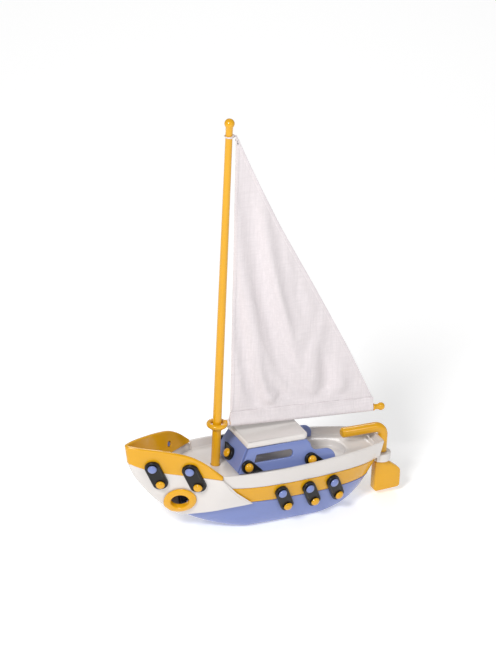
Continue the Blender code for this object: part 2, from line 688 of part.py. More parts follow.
def build_double_clip(name, side, at, height, upper, lower):
    """A black clip that bridges two hull pieces, its upper blue pin and its lower yellow pin.

    upper and lower say which pieces each pin goes into and how deep.
    """
    centre_x, centre_z = at
    _, _, up = skin_frame(centre_x, centre_z, side)
    lean = math.radians(CLIP_LEAN)

    def to_skin(a, b, h):
        x = centre_x + a * math.cos(lean) - b * math.sin(lean)
        z = centre_z + (b * math.cos(lean) + a * math.sin(lean)) * up.z
        return off_skin(x, z, side, height + h)

    ends = (0.0, CLIP_SPACING / 2), (0.0, -CLIP_SPACING / 2)
    loops = [stadium(CLIP_SPACING, CLIP_R)] + [circle(PIN_R + FIT, 10, end) for end in ends]
    clip = bent(plate(name, loops, CLIP_THICK), to_skin)
    place(name, clip, black)
    for end, part, material, (targets, depth) in ((ends[0], "upper_pin", blue, upper),
                                                  (ends[1], "lower_pin", yellow, lower)):
        outer = Vector(to_skin(*end, CLIP_THICK + PIN_STANDOFF))
        inner = Vector(to_skin(*end, 0.0))
        out = (outer - inner).normalized()
        pin_name = name.replace("clip", part)
        length = PIN_STANDOFF + CLIP_THICK + GAP + depth
        set_pin(pin_name, material, outer, out, length)
        for target in targets:
            bore = hole_mesh(pin_name + "_hole_" + target.name, outer, out, HOLE_R, length + 3, 1)
            boolean(target, bore, "DIFFERENCE")


def build_corner_clip(corner, matrix, at, tail):
    """A flat eyelet with a pointed tail, on a cabin wall, and the pin through it."""
    direction = Vector(tail)
    reach = direction.length
    turn = math.atan2(direction.y, direction.x)
    spread_angle = math.degrees(math.acos(EYELET_R / reach))
    outline = arc((0.0, 0.0), EYELET_R, spread_angle, 360 - spread_angle, 11) + [(reach, 0.0)]
    c, s = math.cos(turn), math.sin(turn)
    outline = [(x * c - y * s + at[0], x * s + y * c + at[1]) for x, y in outline]
    name = "cabin_clip_" + corner
    mesh = plate(name, [outline, circle(PIN_R + FIT, 10, at)], CLIP_THICK)
    mesh.transform(matrix @ Matrix.Translation(point((0, 0, CABIN_WALL + GAP))))
    weld(mesh)
    place(name, mesh, black)
    out = (matrix.to_3x3() @ Vector((0, 0, 1))).normalized()
    origin = matrix @ point((at[0], at[1], CABIN_WALL + GAP + CLIP_THICK + PIN_STANDOFF))
    set_pin("cabin_pin_" + corner, yellow, origin / MM, out, CABIN_PIN_LENGTH)


def build_clips(hull, bands, bulwark, shell):
    for side, side_name in ((-1, "port"), (1, "starboard")):
        for i, at in enumerate(BOW_CLIPS):
            name = f"bow_clip_{side_name}_{i + 1}"
            build_double_clip(name, side, at, BOW_PROUD + GAP, ([bulwark], SHORT_PIN), ([shell], SHORT_PIN))
        for i, at in enumerate(SIDE_CLIPS):
            name = f"side_clip_{side_name}_{i + 1}"
            build_double_clip(name, side, at, GAP - HULL_INSET, ([bands[side]], LONG_PIN), ([hull], LONG_PIN))
        matrix = cabin_side_matrix(side)
        for i, at in enumerate(CABIN_PINS):
            build_corner_clip(f"{side_name}_{i + 1}", matrix, at, SIDE_TAILS[i])
    build_corner_clip("front", cabin_front_matrix(), FRONT_PIN, FRONT_TAIL)


def build_hawse_ring(name, side, shell):
    x0, z0 = HAWSE_AT
    out, aft, up = skin_frame(x0, z0, side)
    stand = BOW_PROUD + 2 * GAP

    def to_skin(a, b, h):
        flat = off_skin(x0, z0, side, stand + h) + aft * a + up * b
        wrapped = off_skin(x0 + a * aft.x + b * up.x, z0 + a * aft.z + b * up.z, side, stand + h)
        return flat.lerp(wrapped, HAWSE_WRAP)

    profile = [(HAWSE_HOLE_R + 0.8, 2.3), (HAWSE_R - 1.6, 1.9), (HAWSE_R, 0.7), (HAWSE_R, 0.0),
               (HAWSE_HOLE_R + 1.4, 0.0), (HAWSE_HOLE_R + 1.4, -2.6), (HAWSE_HOLE_R, -2.6),
               (HAWSE_HOLE_R, 1.6)]
    mesh = bent(turned(name, profile, 24, close_loop=True), to_skin)
    place(name, mesh, yellow)
    bore = hole_mesh(name + "_hole", off_skin(x0, z0, side, stand), out, HAWSE_R - 1.9, 6, 5)
    boolean(shell, bore, "DIFFERENCE")


# Rig ------------------------------------------------------------------------------------------------------


def ball_arc(radius, centre, start, end, count):
    """Points down a ball's outer side, as (radius, height), from start to end degrees below its top."""
    return [(radius * math.sin(math.radians(a)), centre + radius * math.cos(math.radians(a)))
            for a in spread(start, end, count)]


def build_mast():
    neck = math.degrees(math.asin(MAST_TOP_R / MAST_BALL_R))
    profile = ball_arc(MAST_BALL_R, MAST_BALL_Z, 0, 180 - neck, 7)
    seat = BOOM_Z - BOOM_RING_TUBE - GAP
    taper = (MAST_FOOT_R - MAST_TOP_R) / (MAST_BALL_Z - MAST_FOOT_Z)
    seat_r = MAST_TOP_R + taper * (MAST_BALL_Z - seat)
    profile += [(seat_r, seat), (seat_r + SEAT_LIP, seat - SEAT_BEVEL),
                (seat_r + SEAT_LIP, seat - SEAT_DEPTH), (seat_r, seat - SEAT_SPAN),
                (MAST_FOOT_R, MAST_FOOT_Z), (0.0, MAST_FOOT_Z)]
    mast = place("mast", turned("mast", profile, 16), yellow)
    mast.location = point((MAST_X, 0.0, 0.0))
    return mast


def boom_frame():
    """Local Z runs from the ring to the boom's ball."""
    start = Vector((MAST_X, 0.0, BOOM_Z))
    end = Vector((BOOM_END_X, 0.0, BOOM_END_Z))
    run = (end - start).normalized()
    return start, run, run.cross(Vector((0.0, 1.0, 0.0))), (end - start).length


def build_boom(pivot):
    start, run, _, length = boom_frame()
    matrix = frame_matrix(start, Vector((0, 1, 0)).cross(run), Vector((0, 1, 0)), run)
    neck = math.degrees(math.asin(BOOM_R / BOOM_BALL_R))
    profile = ball_arc(BOOM_BALL_R, length, 0, 180 - neck, 6)
    collar = length - COLLAR_FROM_END
    profile += [(BOOM_R, collar), (BOOM_R + COLLAR_RISE, collar - 0.2),
                (BOOM_R + COLLAR_RISE, collar - COLLAR_LENGTH + 0.2), (BOOM_R, collar - COLLAR_LENGTH),
                (BOOM_R, BOOM_RING_R), (0.0, BOOM_RING_R)]
    rod = turned("boom_rod", profile, 12)
    rod.transform(matrix)
    ring_profile = [(BOOM_RING_R + BOOM_RING_TUBE * math.cos(math.radians(a)),
                     BOOM_RING_TUBE * math.sin(math.radians(a))) for a in range(90, -270, -36)]
    ring = turned("boom", ring_profile, 20, close_loop=True)
    ring.transform(Matrix.Translation(point((MAST_X, 0, BOOM_Z))))
    boom = place("boom", centred(ring, pivot), yellow)
    follow(boom, pivot)
    boolean(boom, cutter("boom_rod", rod), "UNION")
    return boom


def centred(mesh, pivot):
    """Moves a mesh so that its object's origin can sit on the pivot."""
    mesh.transform(Matrix.Translation(-pivot.location))
    return mesh


def follow(thing, pivot):
    thing.parent = pivot


def build_sail(pivot):
    start, run, up, _ = boom_frame()
    across = Vector((0, 1, 0))

    def on_boom(x, rise):
        share = (x - start.x) / run.x
        spot = start + run * share + up * rise
        return (spot.x, spot.z)

    tack = on_boom(SAIL_TACK_X, SLEEVE_IN + SLEEVE_OVERLAP)
    clew = on_boom(SAIL_CLEW_X, SLEEVE_IN + SLEEVE_OVERLAP)
    head = SAIL_HEAD
    outline = [tack, clew, (clew[0] - 0.5, clew[1] + CLEW_HEIGHT), (head[0] + 1.2, head[1] - 1.0), head,
               (head[0], head[1] - 1.5)]
    mesh = plate("sail", [outline], SAIL_THICK)
    mesh.transform(Matrix.Translation(point((0, SAIL_THICK / 2, 0))) @ Matrix.Rotation(math.pi / 2, 4, "X"))
    sail = place("sail", centred(mesh, pivot), cloth)
    follow(sail, pivot)
    fore, aft = (SAIL_TACK_X - start.x) / run.x, (SAIL_CLEW_X - start.x) / run.x
    profile = [(SLEEVE_IN, aft), (SLEEVE_OUT, aft), (SLEEVE_OUT, fore), (SLEEVE_IN, fore)]
    sleeve = turned("sail_sleeve", profile, 12, close_loop=True)
    sleeve.transform(frame_matrix(start, across.cross(run), across, run))
    boolean(sail, cutter("sail_sleeve", sleeve), "UNION")
    return sail


def build_head_loop(pivot):
    z = SAIL_HEAD[1] - 0.8
    profile = [(LOOP_R + LOOP_TUBE * math.cos(math.radians(a)), LOOP_TUBE * math.sin(math.radians(a)))
               for a in range(90, -270, -60)]
    mesh = turned("sail_head_loop", profile, 16, close_loop=True)
    mesh.transform(Matrix.Translation(point((SAIL_HEAD[0] - GAP - LOOP_R - LOOP_TUBE, 0, z))))
    loop = place("sail_head_loop", centred(mesh, pivot), cloth)
    follow(loop, pivot)
    return loop


# Steering -------------------------------------------------------------------------------------------------


def build_tiller(pivot):
    bend = TILLER_BEND
    corner = [(RUDDER_X - bend + bend * math.sin(math.radians(a)), 0.0,
               TILLER_Z - bend + bend * math.cos(math.radians(a))) for a in (0, 22.5, 45, 67.5, 90)]
    tip = [(TILLER_TIP_X + step, 0.0, TILLER_Z) for step in TILLER_TIP_STEPS]
    path = tip + corner + [(RUDDER_X, 0.0, LUG_HIGH + 0.5)]
    radii = list(TILLER_TIP_SHARES) + [1.0] * (len(path) - len(TILLER_TIP_SHARES))
    bar = tube("tiller", path, TILLER_R, radii, 4)
    tiller = place("tiller", centred(bar, pivot), yellow)
    follow(tiller, pivot)
    shaft = cylinder("tiller_shaft", SHAFT_R, SHAFT_LOW, LUG_HIGH + 3, (RUDDER_X, 0.0), 14)
    boolean(tiller, cutter("tiller_shaft", shaft), "UNION")
    return tiller


def build_blade(pivot):
    low, aft = BLADE_ROUND_LOW, BLADE_ROUND_AFT
    outline = arc((BLADE_FROM + low, BLADE_LOW + low), low, 180, 270, 4)
    outline += arc((BLADE_TO - low, BLADE_LOW + BLADE_RAKE + low), low, 270, 360, 4)
    outline += arc((BLADE_TO - aft, BLADE_AFT_Z - aft), aft, 0, 62, 4)
    outline += [(RUDDER_X + BLADE_TOP_RUN, BLADE_HIGH), (BLADE_FROM, BLADE_HIGH)]
    mesh = plate("rudder_blade", [outline], BLADE_THICK)
    mesh.transform(Matrix.Translation(point((0, BLADE_THICK / 2, 0))) @ Matrix.Rotation(math.pi / 2, 4, "X"))
    blade = place("rudder_blade", centred(mesh, pivot), yellow)
    follow(blade, pivot)
    bore = cylinder("blade_bore", SHAFT_R + FIT, SHAFT_LOW - 0.4, BLADE_HIGH + 3, (RUDDER_X, 0.0), 14)
    boolean(blade, cutter("blade_bore", bore), "DIFFERENCE")
    return blade


def new_pivot(name, at):
    pivot = bpy.data.objects.new(name, None)
    parts.objects.link(pivot)
    pivot.location = point(at)
    bpy.context.view_layer.update()
    return pivot


clear_scene()
parts = new_collection("toy_sailing_boat")
cutters = new_collection("cutters")
yellow = plastic("yellow_plastic", YELLOW, 0.35)
blue = plastic("blue_plastic", BLUE, 0.38)
white = plastic("white_plastic", WHITE, 0.4)
black = plastic("black_rubber", BLACK, 0.5)
cloth = plastic("cotton", CLOTH, 0.9)

hull_bottom = build_hull_bottom()
side_bands = {-1: build_side_band("side_band_port", -1), 1: build_side_band("side_band_starboard", 1)}
build_deck_tub()
bow_bulwark = build_bow_bulwark()
bow_shell = build_bow_shell()
build_cabin()
build_clips(hull_bottom, side_bands, bow_bulwark, bow_shell)
build_hawse_ring("hawse_ring_port", -1, bow_shell)
build_hawse_ring("hawse_ring_starboard", 1, bow_shell)
build_mast()
boom_pivot = new_pivot("boom_axis", (MAST_X, 0.0, BOOM_Z))
build_boom(boom_pivot)
build_sail(boom_pivot)
build_head_loop(boom_pivot)
rudder_pivot = new_pivot("rudder_axis", (RUDDER_X, 0.0, LUG_HIGH))
build_tiller(rudder_pivot)
build_blade(rudder_pivot)
bpy.context.view_layer.update()
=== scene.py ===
"""Looks of the toy sailing boat: smooth moulded shells, push pins and clips, and a sewn cotton sail.

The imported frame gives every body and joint. Each fine piece here stands for one node of that frame, except
for some sewn trims of the sail. They follow the same hull lines, in millimetres: +X aft, +Y to starboard, +Z up.
"""

import json
import math

import bmesh
import bpy
from mathutils import Matrix, Vector
from mathutils.geometry import delaunay_2d_cdt


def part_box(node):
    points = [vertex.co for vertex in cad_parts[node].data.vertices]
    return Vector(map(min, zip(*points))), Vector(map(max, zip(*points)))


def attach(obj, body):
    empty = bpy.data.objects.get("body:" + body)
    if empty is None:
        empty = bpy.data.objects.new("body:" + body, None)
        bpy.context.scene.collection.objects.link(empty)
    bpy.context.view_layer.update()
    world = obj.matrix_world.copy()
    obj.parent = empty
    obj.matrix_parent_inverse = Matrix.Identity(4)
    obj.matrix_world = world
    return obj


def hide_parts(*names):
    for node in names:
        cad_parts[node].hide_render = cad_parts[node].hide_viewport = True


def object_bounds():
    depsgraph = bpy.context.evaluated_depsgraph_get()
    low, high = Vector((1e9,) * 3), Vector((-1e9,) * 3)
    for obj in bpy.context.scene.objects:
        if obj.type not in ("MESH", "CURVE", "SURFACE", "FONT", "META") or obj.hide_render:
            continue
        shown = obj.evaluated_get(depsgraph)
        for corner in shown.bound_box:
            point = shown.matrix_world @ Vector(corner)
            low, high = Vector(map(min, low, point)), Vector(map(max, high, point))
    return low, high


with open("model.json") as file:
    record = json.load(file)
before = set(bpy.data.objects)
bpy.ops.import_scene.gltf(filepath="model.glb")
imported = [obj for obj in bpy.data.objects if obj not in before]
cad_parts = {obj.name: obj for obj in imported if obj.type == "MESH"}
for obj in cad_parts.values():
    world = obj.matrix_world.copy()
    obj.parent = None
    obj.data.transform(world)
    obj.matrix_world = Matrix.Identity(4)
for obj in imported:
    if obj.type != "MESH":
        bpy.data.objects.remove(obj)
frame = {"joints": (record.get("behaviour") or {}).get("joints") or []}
cad_low, cad_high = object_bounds()

MM = 0.001
GAP = 0.3

# Hull lines: stations along X and what each line measures there.
KEEL_Z = ((-121.0, 76.0), (-117.5, 59.0), (-107.5, 42.0), (-93.5, 26.5), (-79.0, 15.5), (-60.0, 6.5),
          (-42.0, 1.8), (-28.0, 0.0), (22.0, 0.0), (40.0, 1.9), (54.0, 6.8), (66.0, 15.6), (75.0, 29.0))
KEEL_HALF = ((-121.0, 1.0), (-100.0, 1.4), (-80.0, 2.4), (-60.0, 5.0), (-28.0, 11.0), (22.0, 11.0),
             (45.0, 8.0), (60.0, 4.0), (68.0, 1.2), (75.0, 0.4))
SHEER_HALF = ((-121.0, 1.0), (-115.0, 5.2), (-98.6, 13.2), (-87.0, 18.6), (-75.6, 24.4), (-64.0, 29.4),
              (-54.0, 32.0), (-36.0, 33.2), (-18.0, 32.8), (3.6, 30.8), (25.0, 27.5), (46.8, 22.6),
              (62.0, 18.2), (77.0, 12.4))
BULWARK_TOP_Z = ((-121.0, 75.0), (-104.0, 73.4), (-93.0, 71.9), (-81.4, 69.2), (-75.6, 66.5),
                 (-69.8, 62.7), (-64.0, 57.9), (-59.5, 53.7))
BULWARK_LOW_Z = ((-121.0, 61.4), (-113.0, 57.7), (-104.0, 54.9), (-92.0, 53.1), (-80.0, 52.4), (-58.0, 51.8))
FULLNESS = ((-121.0, 1.0), (-95.0, 0.8), (-70.0, 0.62), (-40.0, 0.52), (0.0, 0.5), (40.0, 0.52), (75.0, 0.6))
RIM_LOW_Z = ((-62.0, 42.6), (-24.0, 39.6), (8.0, 38.1), (34.0, 36.9), (63.0, 34.9), (77.0, 33.6))
SEAM_Z = ((-84.0, 28.0), (-36.0, 26.6), (-14.0, 25.2), (11.0, 24.2), (46.0, 22.6), (69.0, 21.6))
CHEEK_AFT = ((-59.6, 51.7), (-54.5, 44.0), (-50.1, 38.8), (-43.5, 32.9), (-34.5, 27.1))
KEEL_FLAT_FROM = -28.0
CHEEK_LOW = ((-78.0, 14.9), (-65.7, 19.3), (-50.9, 24.3), (-34.5, 26.7))
BULWARK_STEM_Z, SHELL_STEM_Z, STEM_CROWDING = (61.6, 75.0), 61.2, 1.5

RIM_Z_AT_BREAK, RIM_SLOPE, RIM_FROM, TRANSOM_X, RIM_FLARE = 53.7, 0.03, -59.5, 77.0, 0.35
FOREDECK_FROM, DECK_DROP, WELL_DROP, BOW_PLATE, FOREDECK_INSET = -106.0, 5.7, 12.2, 4.0, 1.3
WALL, RIM_INSET, HULL_INSET = 2.2, 0.2, 0.5
BOW_PROUD, BOW_SHELL_WALL, BULWARK_WALL = 1.7, 1.2, 2.5
HULL_FROM, HULL_TO, BAND_FROM, BAND_TO = -77.0, 69.0, -66.0, 74.0
WELL_FROM, WELL_TO, WELL_LEDGE = -40.0, 50.0, 8.0
SHELF_FROM, SHELF_RAMP, SHELF_RISE = 70.6, 1.8, 1.6

EDGE_R = 0.45
RIM_R, DECK_FILLET, WELL_EDGE_R, WELL_FILLET = 0.75, 1.2, 0.9, 1.8

CABIN_TOP_Z, CABIN_TOP_HALF, CABIN_TUMBLE, CABIN_RAKE = 65.6, 18.0, 0.2, 0.49
CABIN_FRONT_X, CABIN_WALL, CABIN_EDGE_R, CABIN_FOOT_X, CABIN_FRONT_FOOT_X = -35.2, 2.2, 0.5, -43.0, -46.0
ROOF_THICK, ROOF_AFT_X, ROOF_HALF, ROOF_CORNER, ROOF_EDGE_R = 4.6, 12.0, 19.0, 4.0, 1.5

PIN_R, PIN_STANDOFF = 1.9, 0.25
SHORT_PIN, LONG_PIN, CABIN_PIN_LENGTH = 1.9, 4.4, 7.0
CLIP_SPACING, CLIP_R, CLIP_THICK, CLIP_LEAN = 15.6, 5.0, 2.4, 26.0
EYELET_R, SIDE_TAILS, FRONT_TAIL = 4.9, ((11.6, -4.6), (10.2, -2.4)), (-11.0, 4.4)
CABIN_PINS, FRONT_PIN = ((-36.3, -12.8), (13.3, -15.0)), (0.6, -12.3)
BOW_CLIPS, SIDE_CLIPS = ((-100.9, 53.1), (-76.9, 52.7)), ((-8.7, 25.6), (13.9, 24.2), (34.5, 23.8))
HAWSE_AT, HAWSE_R, HAWSE_HOLE_R, HAWSE_WRAP = (-82.7, 30.8), 11.7, 6.5, 0.75

MAST_FOOT_R, MAST_TOP_R, MAST_BALL_R = 3.3, 2.5, 3.6
BOOM_END = (78.6, 71.9)
BOOM_R, BOOM_BALL_R, BOOM_RING_R, BOOM_RING_TUBE = 2.0, 2.9, 5.8, 1.8
SAIL_HEAD, SAIL_TACK_X, SAIL_CLEW_X = (-46.6, 301.8), -42.5, 71.2
LUG_R, TILLER_R, TILLER_Z, TILLER_TIP_X = 7.0, 3.6, 55.4, 47.5
LUG_HEIGHT, SHAFT_R, TILLER_BEND = 6.4, 2.2, 6.5
BLADE_THICK = 7.2

joints = {joint["name"]: joint for joint in frame["joints"]}
MAST_X, _, BOOM_Z = (value / MM for value in joints["boom_swing"]["pos_m"])
RUDDER_X, _, LUG_HIGH = (value / MM for value in joints["rudder_turn"]["pos_m"])
MAST_TOP_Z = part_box("mast")[1].z / MM
BLADE_LOW_CORNER, BLADE_HIGH_CORNER = (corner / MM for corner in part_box("rudder_blade"))


def spread(start, end, count):
    return [start + (end - start) * i / (count - 1) for i in range(count)]


def fair(stations):
    """A smooth curve through (x, value) stations that doesn't overshoot them."""
    xs = [s[0] for s in stations]
    ys = [s[1] for s in stations]
    steps = [b - a for a, b in zip(xs, xs[1:])]
    slopes = [(b - a) / h for a, b, h in zip(ys, ys[1:], steps)]
    tangents = [slopes[0]]
    for before, after, h0, h1 in zip(slopes, slopes[1:], steps, steps[1:]):
        if before * after <= 0:
            tangents.append(0.0)
            continue
        w0, w1 = 2 * h1 + h0, h1 + 2 * h0
        tangents.append((w0 + w1) / (w0 / before + w1 / after))
    tangents.append(slopes[-1])

    def value(x):
        i = sum(x >= edge for edge in xs[1:-1])
        t = min(max((x - xs[i]) / steps[i], 0.0), 1.0)
        rise = t * t * (3 - 2 * t)
        lean = t * (1 - t) * (tangents[i] * (1 - t) - tangents[i + 1] * t)
        return ys[i] + (ys[i + 1] - ys[i]) * rise + steps[i] * lean

    return value


keel_z, keel_half, sheer_half = fair(KEEL_Z), fair(KEEL_HALF), fair(SHEER_HALF)
bulwark_top_z, bulwark_low_z = fair(BULWARK_TOP_Z), fair(BULWARK_LOW_Z)
fullness, rim_low_z, seam_z = fair(FULLNESS), fair(RIM_LOW_Z), fair(SEAM_Z)


def rim_z(x):
    return RIM_Z_AT_BREAK - RIM_SLOPE * (x - RIM_FROM)


def deck_z(x):
    return rim_z(x) - DECK_DROP


def top_z(x):
    return bulwark_top_z(x) if x < RIM_FROM else rim_z(x)


def half(x, z):
    """Half-breadth of the hull's skin at station x and height z."""
    rise = max(top_z(x) - keel_z(x), 1.0)
    share = min(max((z - keel_z(x)) / rise, 0.0), 1.4)
    return keel_half(x) + (sheer_half(x) - keel_half(x)) * share ** fullness(x)


def tub_half(x, z):
    if x < RIM_FROM:
        return half(x, z)
    return max(half(x, z), sheer_half(x) - RIM_FLARE * (rim_z(x) - z))


def skin(x, z, side):
    return Vector((x, side * half(x, z), z))


def skin_frame(x, z, side):
    """The skin's outward normal, its fore-and-aft and its upward tangent at (x, z)."""
    step = 0.5
    aft = (skin(x + step, z, side) - skin(x - step, z, side)).normalized()
    up = (skin(x, z + step, side) - skin(x, z - step, side)).normalized()
    out = aft.cross(up).normalized()
    return (-out if out.y * side < 0 else out), aft, up


def off_skin(x, z, side, height):
    return skin(x, z, side) + skin_frame(x, z, side)[0] * height


# Mesh helpers ---------------------------------------------------------------------------------------------


def lofted(loops, caps=True):
    """Points and faces of a skin over closed loops that have the same number of points."""
    count = len(loops[0])
    verts = [Vector(v) for loop in loops for v in loop]
    faces = []
    for row in range(len(loops) - 1):
        for k in range(count):
            a, b = row * count + k, row * count + (k + 1) % count
            faces.append((a, b, b + count, a + count))
    if caps:
        for row in (0, len(loops) - 1):
            middle = sum((Vector(v) for v in loops[row]), Vector()) / count
            verts.append(middle)
            faces += [(row * count + k, row * count + (k + 1) % count, len(verts) - 1) for k in range(count)]
    return verts, faces


def merged(*shapes):
    """Several (points, faces) shapes as one."""
    verts, faces = [], []
    for points, polygons in shapes:
        faces += [tuple(i + len(verts) for i in polygon) for polygon in polygons]
        verts += list(points)
    return verts, faces


def moved(shape, matrix):
    return [matrix @ Vector(v) for v in shape[0]], shape[1]


def mesh_from(name, shape, angle=40.0):
    mesh = bpy.data.meshes.new(name)
    mesh.from_pydata([Vector(v) * MM for v in shape[0]], [], shape[1])
    finish_mesh(mesh, angle)
    return mesh


def finish_mesh(mesh, angle=40.0):
    bm = bmesh.new()
    bm.from_mesh(mesh)
    bmesh.ops.remove_doubles(bm, verts=bm.verts, dist=0.004 * MM)
    bmesh.ops.dissolve_degenerate(bm, edges=bm.edges, dist=0.002 * MM)
    bmesh.ops.recalc_face_normals(bm, faces=bm.faces)
    bm.to_mesh(mesh)
    bm.free()
    mesh.shade_smooth()
    mesh.set_sharp_from_angle(angle=math.radians(angle))


def linked(name, data):
    """A new object in the scene."""
    thing = bpy.data.objects.new(name, data)
    bpy.context.scene.collection.objects.link(thing)
    return thing


def piece(name, mesh, material, body, nodes=()):
    """Puts a finished mesh in the scene, riding on a body and standing for its CAD nodes."""
    thing = linked(name, mesh)
    mesh.materials.clear()
    mesh.materials.append(material)
    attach(thing, body)
    if nodes:
        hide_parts(*nodes)
    return thing


def evaluated_mesh(thing):
    bpy.context.view_layer.update()
    mesh = bpy.data.meshes.new_from_object(thing.evaluated_get(bpy.context.evaluated_depsgraph_get()))
    mesh.transform(thing.matrix_world)
    bpy.data.objects.remove(thing, do_unlink=True)
    return mesh


def cut(mesh, *cutters):
    """A mesh with closed shapes taken out of it."""
    thing = linked("cut", mesh)
    tools = []
    for shape in cutters:
        tool = linked("tool", mesh_from("tool", shape))
        modifier = thing.modifiers.new("Cut", "BOOLEAN")
        modifier.object = tool
        tools.append(tool)
    result = evaluated_mesh(thing)
    for tool in tools:
        bpy.data.objects.remove(tool, do_unlink=True)
    finish_mesh(result)
    return result


def turned(profile, steps=48, closed=False):
    """A round solid about +Z. The profile runs from the top down the outer side as (radius, height)."""
    rings = []
    for i in range(steps):
        c, s = math.cos(2 * math.pi * i / steps), math.sin(2 * math.pi * i / steps)
        rings.append([Vector((r * c, r * s, z)) for r, z in profile])
    count = len(profile)
    faces = []
    for i in range(steps):
        for k in range(count if closed else count - 1):
            a, b = i * count + k, i * count + (k + 1) % count
            c, d = ((i + 1) % steps) * count + (k + 1) % count, ((i + 1) % steps) * count + k
            faces.append((a, b, c, d))
    return [v for ring in rings for v in ring], faces


def arc(centre, radius, start, end, count):
    angles = [math.radians(a) for a in spread(start, end, count)]
    return [(centre[0] + radius * math.cos(a), centre[1] + radius * math.sin(a)) for a in angles]


def circle(radius, count, centre=(0.0, 0.0)):
    return arc(centre, radius, 0, 360, count + 1)[:-1]


def softened(corners, radius, steps=4):
    """An open profile with its inner corners rounded."""
    points = [Vector(corners[0])]
    for before, corner, after in zip(corners, corners[1:], corners[2:]):
        before, corner, after = Vector(before), Vector(corner), Vector(after)
        reach = min(radius, (before - corner).length * 0.48, (after - corner).length * 0.48)
        start = corner + (before - corner).normalized() * reach
        end = corner + (after - corner).normalized() * reach
        for t in spread(0.0, 1.0, steps + 1):
            points.append(start * (1 - t) ** 2 + corner * 2 * t * (1 - t) + end * t * t)
    return points + [Vector(corners[-1])]


def lip(edge, across, up, wall, radius, steps=4):
    """Points over a wall's edge from its near face to its far face. edge is the near face's top."""
    points = []
    for a in spread(0.0, math.pi / 2, steps):
        points.append(edge + across * radius * (1 - math.cos(a)) + up * radius * (math.sin(a) - 1))
    for a in spread(math.pi / 2, 0.0, steps):
        points.append(edge + across * (wall - radius * (1 - math.cos(a))) + up * radius * (math.sin(a) - 1))
    return points


def plate(loops, thickness, edge):
    """A flat plate between z = 0 and its thickness with rounded edges. The first loop is the outline."""
    curve = bpy.data.curves.new("plate", "CURVE")
    curve.dimensions = "2D"
    curve.fill_mode = "BOTH"
    curve.extrude = (thickness / 2 - edge) * MM
    curve.bevel_depth = edge * MM
    curve.bevel_resolution = 3
    curve.offset = -edge * MM
    for loop in loops:
        spline = curve.splines.new("POLY")
        spline.points.add(len(loop) - 1)
        spline.use_cyclic_u = True
        for control, p in zip(spline.points, loop):
            control.co = (p[0] * MM, p[1] * MM, 0.0, 1.0)
    thing = linked("plate", curve)
    thing.location.z = thickness * MM / 2
    mesh = evaluated_mesh(thing)
    finish_mesh(mesh, 50.0)
    return mesh


def frame_matrix(origin, x_axis, y_axis, z_axis):
    matrix = Matrix((x_axis, y_axis, z_axis)).transposed().to_4x4()
    matrix.translation = Vector(origin)
    return matrix


def aimed(origin, out):
    return Matrix.Translation(Vector(origin)) @ out.to_track_quat("Z", "Y").to_matrix().to_4x4()


def in_metres(matrix):
    scaled = matrix.copy()
    scaled.translation = matrix.translation * MM
    return scaled


# Materials ------------------------------------------------------------------------------------------------


class Shader:
    """A Principled material and short ways to wire nodes into it."""

    def __init__(self, name):
        self.material = bpy.data.materials.new(name)
        self.material.use_nodes = True
        self.tree = self.material.node_tree
        self.main = self.tree.nodes["Principled BSDF"]
        self.place = self.node("ShaderNodeTexCoord").outputs["Object"]

    def node(self, kind, **settings):
        made = self.tree.nodes.new(kind)
        for key, value in settings.items():
            setattr(made, key, value)
        return made

    def set(self, **values):
        for key, value in values.items():
            self.main.inputs[key.replace("_", " ")].default_value = value

    def stretched(self, scale):
        mapping = self.node("ShaderNodeMapping")
        mapping.inputs["Scale"].default_value = scale
        self.tree.links.new(self.place, mapping.inputs["Vector"])
        return mapping.outputs["Vector"]

    def noise(self, scale, detail=3.0, stretch=(1, 1, 1)):
        noise = self.node("ShaderNodeTexNoise")
        noise.inputs["Scale"].default_value = scale
        noise.inputs["Detail"].default_value = detail
        self.tree.links.new(self.stretched(stretch), noise.inputs["Vector"])
        return noise.outputs["Fac"]

    def ramp(self, source, low, high, at=(0.3, 0.7)):
        """A range of colours or numbers along a source."""
        ramp = self.node("ShaderNodeValToRGB")
        for element, value, spot in zip(ramp.color_ramp.elements, (low, high), at):
            element.position = spot
            element.color = value if hasattr(value, "__len__") else (value, value, value, 1.0)
        self.tree.links.new(source, ramp.inputs["Fac"])
        return ramp.outputs["Color"]

    def mix(self, factor, a, b, mode="MIX"):
        mix = self.node("ShaderNodeMix", data_type="RGBA", blend_type=mode)
        self.wire(factor, mix.inputs["Factor"])
        self.wire(a, mix.inputs["A"])
        self.wire(b, mix.inputs["B"])
        return mix.outputs["Result"]

    def maths(self, operation, a, b):
        node = self.node("ShaderNodeMath", operation=operation)
        self.wire(a, node.inputs[0])
        self.wire(b, node.inputs[1])
        return node.outputs[0]

    def wire(self, source, socket):
        if isinstance(source, bpy.types.NodeSocket):
            self.tree.links.new(source, socket)
        else:
            socket.default_value = source

    def into(self, name, source):
        self.tree.links.new(source, self.main.inputs[name])

    def bumps(self, *layers):
        """Stacks bump layers given as (height source, depth in millimetres, strength)."""
        normal = None
        for source, depth, strength in layers:
            bump = self.node("ShaderNodeBump")
            bump.inputs["Strength"].default_value = strength
            bump.inputs["Distance"].default_value = depth * MM
            self.tree.links.new(source, bump.inputs["Height"])
            if normal:
                self.tree.links.new(normal, bump.inputs["Normal"])
            normal = bump.outputs["Normal"]
        self.into("Normal", normal)


def tinted(colour, factor):
    return tuple(min(c * factor, 1.0) for c in colour[:3]) + (1.0,)


